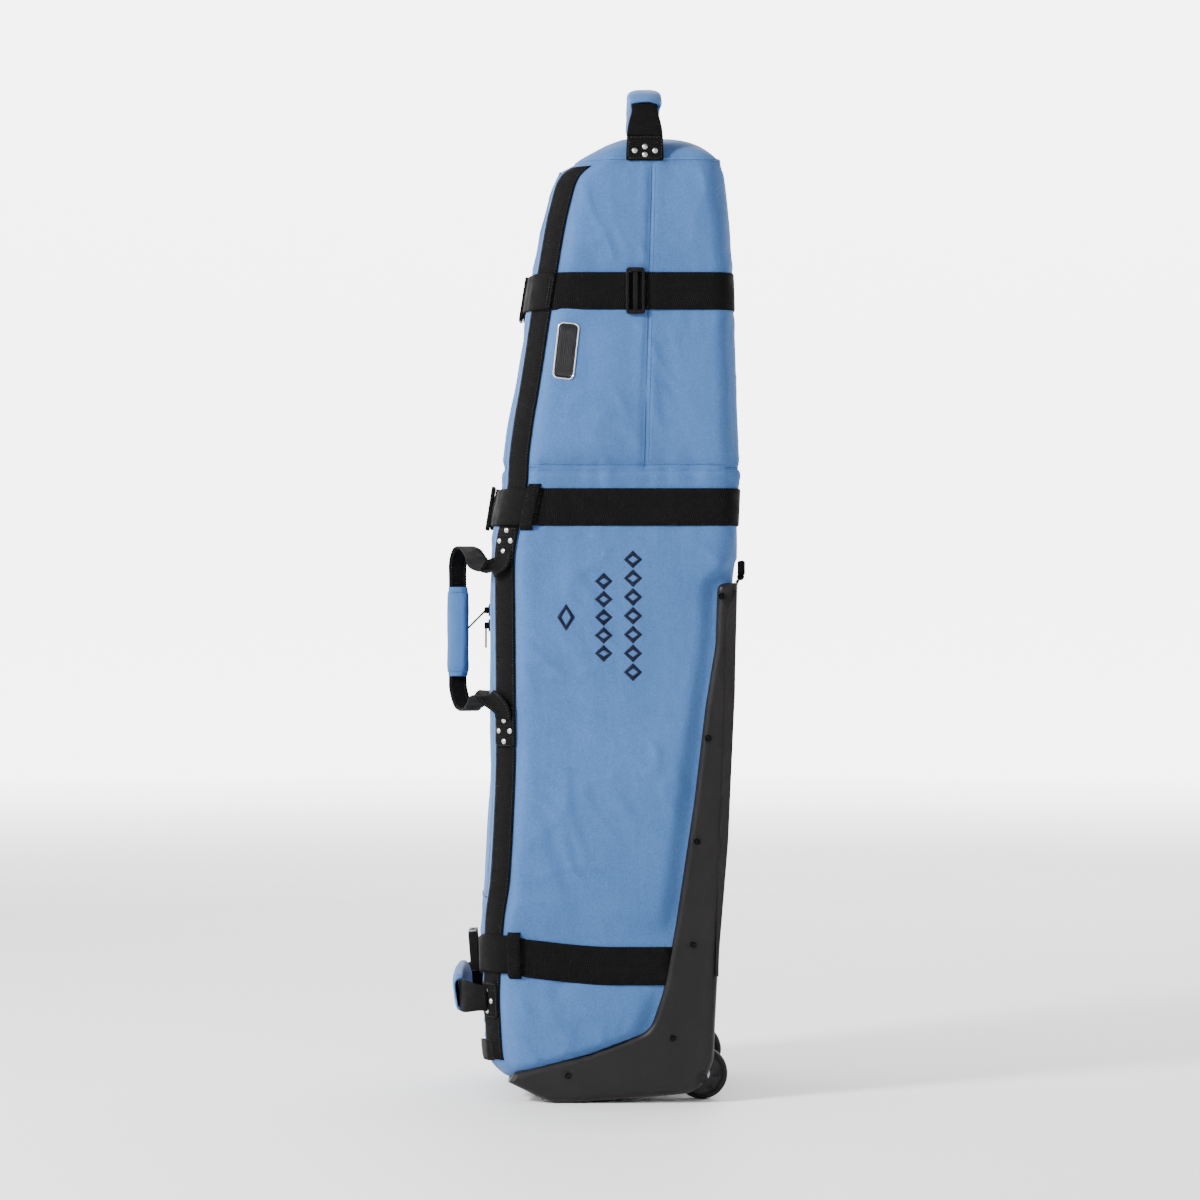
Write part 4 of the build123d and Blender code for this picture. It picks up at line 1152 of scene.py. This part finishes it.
def build_tabs():
    for kind, places in CORNER_TABS.items():
        made = []
        for z, half, station in places:
            for side, word in sides():
                place = corner_place(station, z, side)
                made.append(patch(f"{kind}_tab", rounded_box(17.5, half, 6.0), place, 2.0, "web"))
                stitch_box(f"{kind}_tab_stitches_{word}_{int(z)}", 14.6, half - 3.0, place,
                           facing(station, z, side))
        hand_over(join(f"{kind}_handle_tab_webbing", made), "case", f"{kind}_handle_tabs")
    made = []
    for side, word in sides():
        place = lambda u, v, out: Vector((side * (TOP_TAB_X + out), TOP_TAB[0] + u, TOP_TAB[1] + v)) * MM
        made.append(patch("top_tab", rounded_box(25.0, 17.0, 2.5, 0.97), place, 2.0, "web"))
        stitch_box(f"top_tab_stitches_{word}", 22.0, 14.0, place, Vector((side, 0, 0)))
    hand_over(join("top_handle_tab_webbing", made), "case", "top_handle_tabs")


# radius and height round a domed rivet head with a rolled rim, as shares of the whole
RIVET_PROFILE = [(1.06, -0.1), (1.1, 0.12), (1.0, 0.3), (0.94, 0.26), (0.84, 0.55), (0.62, 0.82),
                 (0.34, 0.96), (0.1, 1.0)]


def rivet(centre, normal, r, height):
    """The vertices of one rivet head."""
    a = normal.orthogonal().normalized()
    b = normal.cross(a)
    verts = []
    for radius, lift in RIVET_PROFILE:
        for j in range(20):
            t = 2 * math.pi * j / 20
            verts.append(centre + (a * math.cos(t) + b * math.sin(t)) * r * radius + normal * height * lift)
    return verts


def build_rivets():
    verts, faces = [], []

    def put(centre, normal, r, height):
        start = len(verts)
        verts.extend(rivet(centre, normal, r, height))
        faces.extend(tube_faces(len(RIVET_PROFILE), 20, start))

    for side in (-1, 1):
        for z, station in CORNER_RIVETS:
            for u, v in ((0, 14), (0, -14), (10, 0), (-10, 0)):
                s = station + u / (ARC * 1.07)
                put(skin(s, z + v, 3.9, side), facing(s, z, side), 3.3 * MM, 1.7 * MM)
        for u, v in ((13.6, 0), (-13.6, 0), (0, 5.3), (0, -5.3)):
            put(Vector((side * (TOP_TAB_X + 2.0), TOP_TAB[0] + u, 1270 + v)) * MM, Vector((side, 0, 0)),
                3.3 * MM, 1.6 * MM)
    hand_over(solid("domed_rivets", verts, faces, "nickel"), "case", "handle_rivets")


# ---------------------------------------------------------------- handles
# the carry loop's route on the +X side, from the upper tab, through the grip, to the lower tab
CARRY_ROUTE = [(165.9, -124.6, 735), (168.4, -127.0, 722), (159, -142, 713), (133, -160, 717),
               (98, -167, 730), (60, -176, 742), (30, -186, 741), (13.5, -192, 722), (11.2, -192.4, 690),
               (10.8, -192.4, 628), (11.2, -192.4, 566), (15, -191, 545), (34, -184, 525), (66, -173, 521),
               (104, -164, 531), (140, -156, 541), (160, -139, 537), (168.6, -127.2, 525),
               (166.0, -124.8, 512)]
CORNER_TANGENT = Vector((0.656, 0.755, 0))  # across the loop's webbing at its tabs
LEG_ACROSS = Vector((-0.319, 0.948, 0))     # and between them


def mirrored(points, side):
    return [Vector((side * x, y, z)) * MM for x, y, z in points]


def build_carry_handle():
    for side, word in sides():
        route = spline(mirrored(CARRY_ROUTE, side), 0.0035)

        def across(t):
            turn = 1 - ramp(min(t, 1 - t), 0.03, 0.2)
            v = CORNER_TANGENT * turn + LEG_ACROSS * (1 - turn)
            return Vector((side * v.x, v.y, 0)).normalized()

        def width(t):
            return (0.0245 + 0.004 * (1 - ramp(min(t, 1 - t), 0.0, 0.1))) * (1 + 0.015 * math.sin(t * 60))

        loop = ribbon(f"carry_loop_webbing_{word}", route, across, width, 0.0030, "web")
        lines = []
        for i, share in enumerate((-0.38, 0.38)):
            path, normals = [], []
            for k, p in enumerate(route):
                t = k / (len(route) - 1)
                a, up = strip_frame(route, k, across(t))
                path.append(p + a * width(t) * share + up * 0.0016)
                normals.append(up)
            lines.append(stitches(f"carry_loop_stitches_{word}_{i}", path, normals, None))
        loop = join(f"carry_loop_webbing_{word}", [loop] + lines)
        blend_front(loop, side)
        hand_over(loop, None, f"carry_loop_{word}")

        grip_x, grip_y = side * 10.9, -192.2
        core = [Vector((grip_x, grip_y, z)) * MM for z in walk(566, 689, 3.5)]
        grip = sleeve(f"carry_grip_cover_{word}", core, Vector((0, 1, 0)), 0.0145, 0.0101, "grip",
                      1.3 + side)
        seam = [Vector((side * 20.6, grip_y, z)) * MM for z in walk(573, 682, 4)]
        line = stitches(f"carry_grip_seam_{word}", seam, [Vector((side, 0, 0))] * len(seam), None,
                        "blue_thread", "grip_fabric")
        hems = []
        for i, z in enumerate((573, 682)):
            centre = Vector((grip_x, grip_y, z)) * MM
            ring = []
            for j in range(25):
                a = 2 * math.pi * j / 24
                ring.append(Vector((grip_x + softened(math.sin(a)) * 10.0,
                                    grip_y + softened(math.cos(a)) * 14.4, z)) * MM)
            out = [(q - centre).normalized() for q in ring]
            hems.append(stitches(f"carry_grip_hem_{word}_{i}", ring, out, None, "blue_thread"))
        grip = join(f"carry_grip_cover_{word}", [grip, line] + hems)
        hand_over(grip, f"front_{word}", f"carry_grip_{word}")


def bar_handle(kind, half, cover, width, across, cover_across, cover_size, seed, hinge):
    """A webbing handle with a padded cover. half and cover are the
    -X halves of the two routes, and width is a function of the distance from an end."""
    route = spline(mirrored(half, -1) + mirrored(half[::-1], 1), 0.004)
    reach = (len(route) - 1) * 4
    web = ribbon(f"{kind}_handle_web", route, lambda t: across, lambda t: width(min(t, 1 - t) * reach),
                 0.0030, "web")
    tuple(hinge[0])
    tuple(hinge[1])
    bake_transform(web)
    hand_over(web, None, f"{kind}_handle_webbing")
    core = spline(mirrored(cover, -1) + mirrored(cover[::-1], 1), 0.0045)
    padding = sleeve(f"{kind}_handle_cover", core, cover_across, *cover_size, "grip", seed)
    hand_over(padding, f"{kind}_handle", f"{kind}_handle_sleeve")


def build_top_handle():
    half = [(179.4, 64, 1290), (180.2, 64, 1303), (178.8, 64, 1316), (171, 64, 1331), (153, 64, 1341),
            (110, 64, 1351), (50, 64, 1356.5)]
    cover = [(166, 64, 1329), (156, 64, 1336), (138, 64, 1342), (100, 64, 1349.5), (40, 64, 1354)]
    fore_and_aft = Vector((0, 1, 0))
    bar_handle("top", half, cover, lambda end: 0.048 - 0.016 * ramp(end, 0, 42) + 0.008 * ramp(end, 60, 90),
               fore_and_aft, fore_and_aft, (0.0232, 0.0125), 0.7, ((0, 0.064, 1.291), (0, 0.064, 1.315)))


def build_bottom_handle():
    half = [(152.5, -147.2, 137), (147, -156, 137), (139, -167, 137), (124, -178, 137), (100, -184.5, 137),
            (50, -187, 137)]
    cover = [(104, -184.5, 138), (80, -186, 138.5), (30, -187, 139)]
    bar_handle("bottom", half, cover, lambda end: 0.034 + 0.010 * ramp(end, 4, 40), Vector((0, 0, 1)),
               Vector((0, -0.12, 1)).normalized(), (0.0255, 0.0095), 2.1,
               ((0, -0.150, 0.137), (0, -0.168, 0.137)))


# ---------------------------------------------------------------- pad under the crown
def build_crown_pad():
    verts = []
    nx, ny = 28, 22
    for level in (0, 1):
        for i in range(ny):
            for j in range(nx):
                u, v = -1 + 2 * j / (nx - 1), -1 + 2 * i / (ny - 1)
                x, y = u * 134, 66 + v * 70
                keep = max(abs(x) / 172, abs(y - 66) / 96)
                top = SEAM_TOP + (crown(y) - SEAM_TOP) * dome(keep) - 8.5
                verts.append(Vector((x, y, top if level else SEAM_TOP - 2)) * MM)
    faces = turned(grid_faces(ny, nx)) + grid_faces(ny, nx, start=nx * ny)
    edge = list(range(nx)) + [i * nx + nx - 1 for i in range(1, ny)]
    edge += [(ny - 1) * nx + j for j in range(nx - 2, -1, -1)] + [i * nx for i in range(ny - 2, 0, -1)]
    for a, b in zip(edge, edge[1:] + edge[:1]):
        faces.append((a, b, b + nx * ny, a + nx * ny))
    hand_over(solid("crown_pad", verts, faces, "foam"), "case", "top_foam_pad")


# ---------------------------------------------------------------- badge
BADGE_LEAN = math.radians(6.5)
BADGE_HALF = (14.5, 38.0, 7.0)              # half width, half height and corner radius


def build_badge():
    """A plain plate in a bright rolled rim, with nothing written on it."""
    y, z = BADGE
    centre = skin(side_station(y, z), z, 0.0) / MM
    up = Vector((0, math.sin(BADGE_LEAN), math.cos(BADGE_LEAN)))
    right = Vector((0, math.cos(BADGE_LEAN), -math.sin(BADGE_LEAN)))

    def place(u, v, out):
        return (centre + right * u + up * v + Vector((out, 0, 0))) * MM

    half_u, half_v, r = BADGE_HALF
    profile = [(0.0, -2.4), (0.0, 0.8), (0.25, 1.5), (0.8, 1.95), (1.5, 1.8), (1.95, 1.2), (2.1, 0.4),
               (2.1, -0.4)]
    ring = rounded_box(half_u, half_v, r)
    verts = []
    for inset, out in profile:
        scale_u, scale_v = (half_u - inset) / half_u, (half_v - inset) / half_v
        verts += [place(u * scale_u, v * scale_v, out) for u, v in ring]
    bezel = make_object("badge_rim", verts, grid_faces(len(profile), len(ring), closed=True))
    thicken(bezel, 0.0003, "chrome")
    hand_over(bezel, "case", "badge_bezel")
    plate = patch("badge_face", rounded_box(half_u - 1.9, half_v - 1.9, r - 1.6),
                  lambda u, v, out: place(u, v, out - 1.0), 1.9, "badge")
    ridges = []
    for u in walk(-7.5, 7.5, 2.5):
        ends = 27.0 - 0.5 * abs(u)
        verts = []
        for v in walk(-ends, ends, 3.0):
            for k in range(5):
                a = math.pi * k / 4
                fade = 1 - ramp(abs(v), ends - 4, ends)
                verts.append(place(u + 0.55 * math.cos(a), v, 0.86 + 0.42 * fade * math.sin(a)))
        ridges.append(make_object("badge_ridge", verts, grid_faces(len(walk(-ends, ends, 3.0)), 5)))
        ridges[-1].data.materials.append(M["badge"])
    hand_over(join("badge_face", [plate] + ridges), "case", "badge_plate")


# ---------------------------------------------------------------- a plain stitched pattern on the side
def diamond_spans(y, z, half_y, half_z, border, pitch=1.15):
    """Thread spans of a hollow diamond, as (y0, y1, z)."""
    spans = []
    for dz in walk(-half_z, half_z, pitch):
        outer = half_y * (1 - abs(dz) / half_z)
        inner = (half_y - border) * (1 - abs(dz) / (half_z - border * 1.2))
        if outer < 0.6:
            continue
        if inner <= 0.4:
            spans.append((y - outer, y + outer, z + dz))
        else:
            spans += [(y - outer, y - inner, z + dz), (y + inner, y + outer, z + dz)]
    return spans


# as STITCH, for a long thread that lies over the fabric
SATIN_STITCH = ((0.0, -0.5, 0.6), (0.08, 0.35, 1.0), (0.5, 0.75, 1.05), (0.92, 0.35, 1.0), (1.0, -0.5, 0.6))


def build_embroidery():
    """Rows of plain stitched diamonds."""
    spans = []
    for k in range(5):
        spans += diamond_spans(9, 600 + 24 * k, 12, 11.5, 6.0)
    for k in range(7):
        spans += diamond_spans(48, 575 + 25 * k, 12.5, 12, 6.0)
    spans += diamond_spans(-41, 648, 12, 18, 6.0)
    verts, faces = [], []
    for y0, y1, z in spans:
        start = len(verts)
        for t, lift, fat in SATIN_STITCH:
            station = side_station(y0 + (y1 - y0) * t, z)
            for c, s in HEXAGON:
                verts.append(skin(station, z + 0.62 * fat * c, 0.5 * (lift + fat * s)))
        faces += tube_faces(5, 6, start)
    motif = solid("stitched_diamonds", verts, faces, "thread")
    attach(motif, "case")


build_body()
build_panels()
build_trim()
build_straps()
build_keepers()
build_zip()
seam_lines()
build_seams()
build_tabs()
build_rivets()
build_carry_handle()
build_top_handle()
build_bottom_handle()
build_crown_pad()
build_badge()
build_embroidery()

# ---------------------------------------------------------------- carried-over CAD nodes
CARRIED_OVER = {
    "mould": "base_shell",
    "screw": "base_screws",
    "axle": "wheel_axles",
    "steel": "wheel_bearings_left wheel_bearings_right",
    "wheel": "wheel_core_left wheel_core_right",
    "tread": "wheel_tyre_left wheel_tyre_right",
    "foot": "front_feet",
    "nickel": "backing_washers",
    "board": "back_board base_board",
    "buckle": "lower_buckle_socket lower_buckle_plug upper_buckle_base upper_buckle_latch "
              "middle_buckle_base middle_buckle_latch strap_tri_glide towing_clip",
    "zip_metal": "upper_zip_slider lower_zip_slider upper_zip_pull lower_zip_pull",
    "web": "towing_strap",
}
for material, nodes in CARRIED_OVER.items():
    for node in nodes.split():
        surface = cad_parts[node].data.materials
        surface.clear()
        surface.append(M[material])


def welded(node, kind):
    """A carried-over CAD node's edges merged, and a modifier of a kind on top."""
    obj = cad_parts[node]
    obj.modifiers.new("weld", "WELD").merge_threshold = 0.00002
    return obj.modifiers.new(kind.lower(), kind)


# round the sharp edges of the small hardware
for width, nodes in ((0.0006, "upper_buckle_base upper_buckle_latch middle_buckle_base middle_buckle_latch "
                              "lower_buckle_socket lower_buckle_plug strap_tri_glide towing_clip"),
                     (0.0005, "upper_zip_slider lower_zip_slider front_feet")):
    for node in nodes.split():
        bevel = welded(node, "BEVEL")
        bevel.width = width
        bevel.segments = 2
        bevel.limit_method = "ANGLE"
        bevel.angle_limit = math.radians(38)
        bevel.harden_normals = True

# coat what looks heavier in the photo all over
for node in ("upper_zip_pull", "lower_zip_pull", "towing_clip"):
    coat = welded(node, "DISPLACE")
    coat.mid_level = 0.0
    coat.strength = 0.0006


def build_latch_ends():
    """The free end of each snap buckle's latch turns down towards the strap."""
    for word in ("upper", "middle"):
        z = STRAPS[word]
        up = Vector((0, front_at(z + 20) - front_at(z - 20), 40)).normalized()
        out = Vector((0, -up.z, up.y))
        verts = []
        for x in (26.4, 29.6):
            for rise, reach in ((-27.0, 5.2), (27.0, 5.2), (27.0, 10.8), (-27.0, 10.8)):
                verts.append((Vector((x, front_at(z), z)) + up * rise + out * reach) * MM)
        faces = [(0, 1, 2, 3), (7, 6, 5, 4), (0, 4, 5, 1), (1, 5, 6, 2), (2, 6, 7, 3), (3, 7, 4, 0)]
        end = solid(f"{word}_latch_end", verts, faces, "buckle")
        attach(end, "front_right")


build_latch_ends()
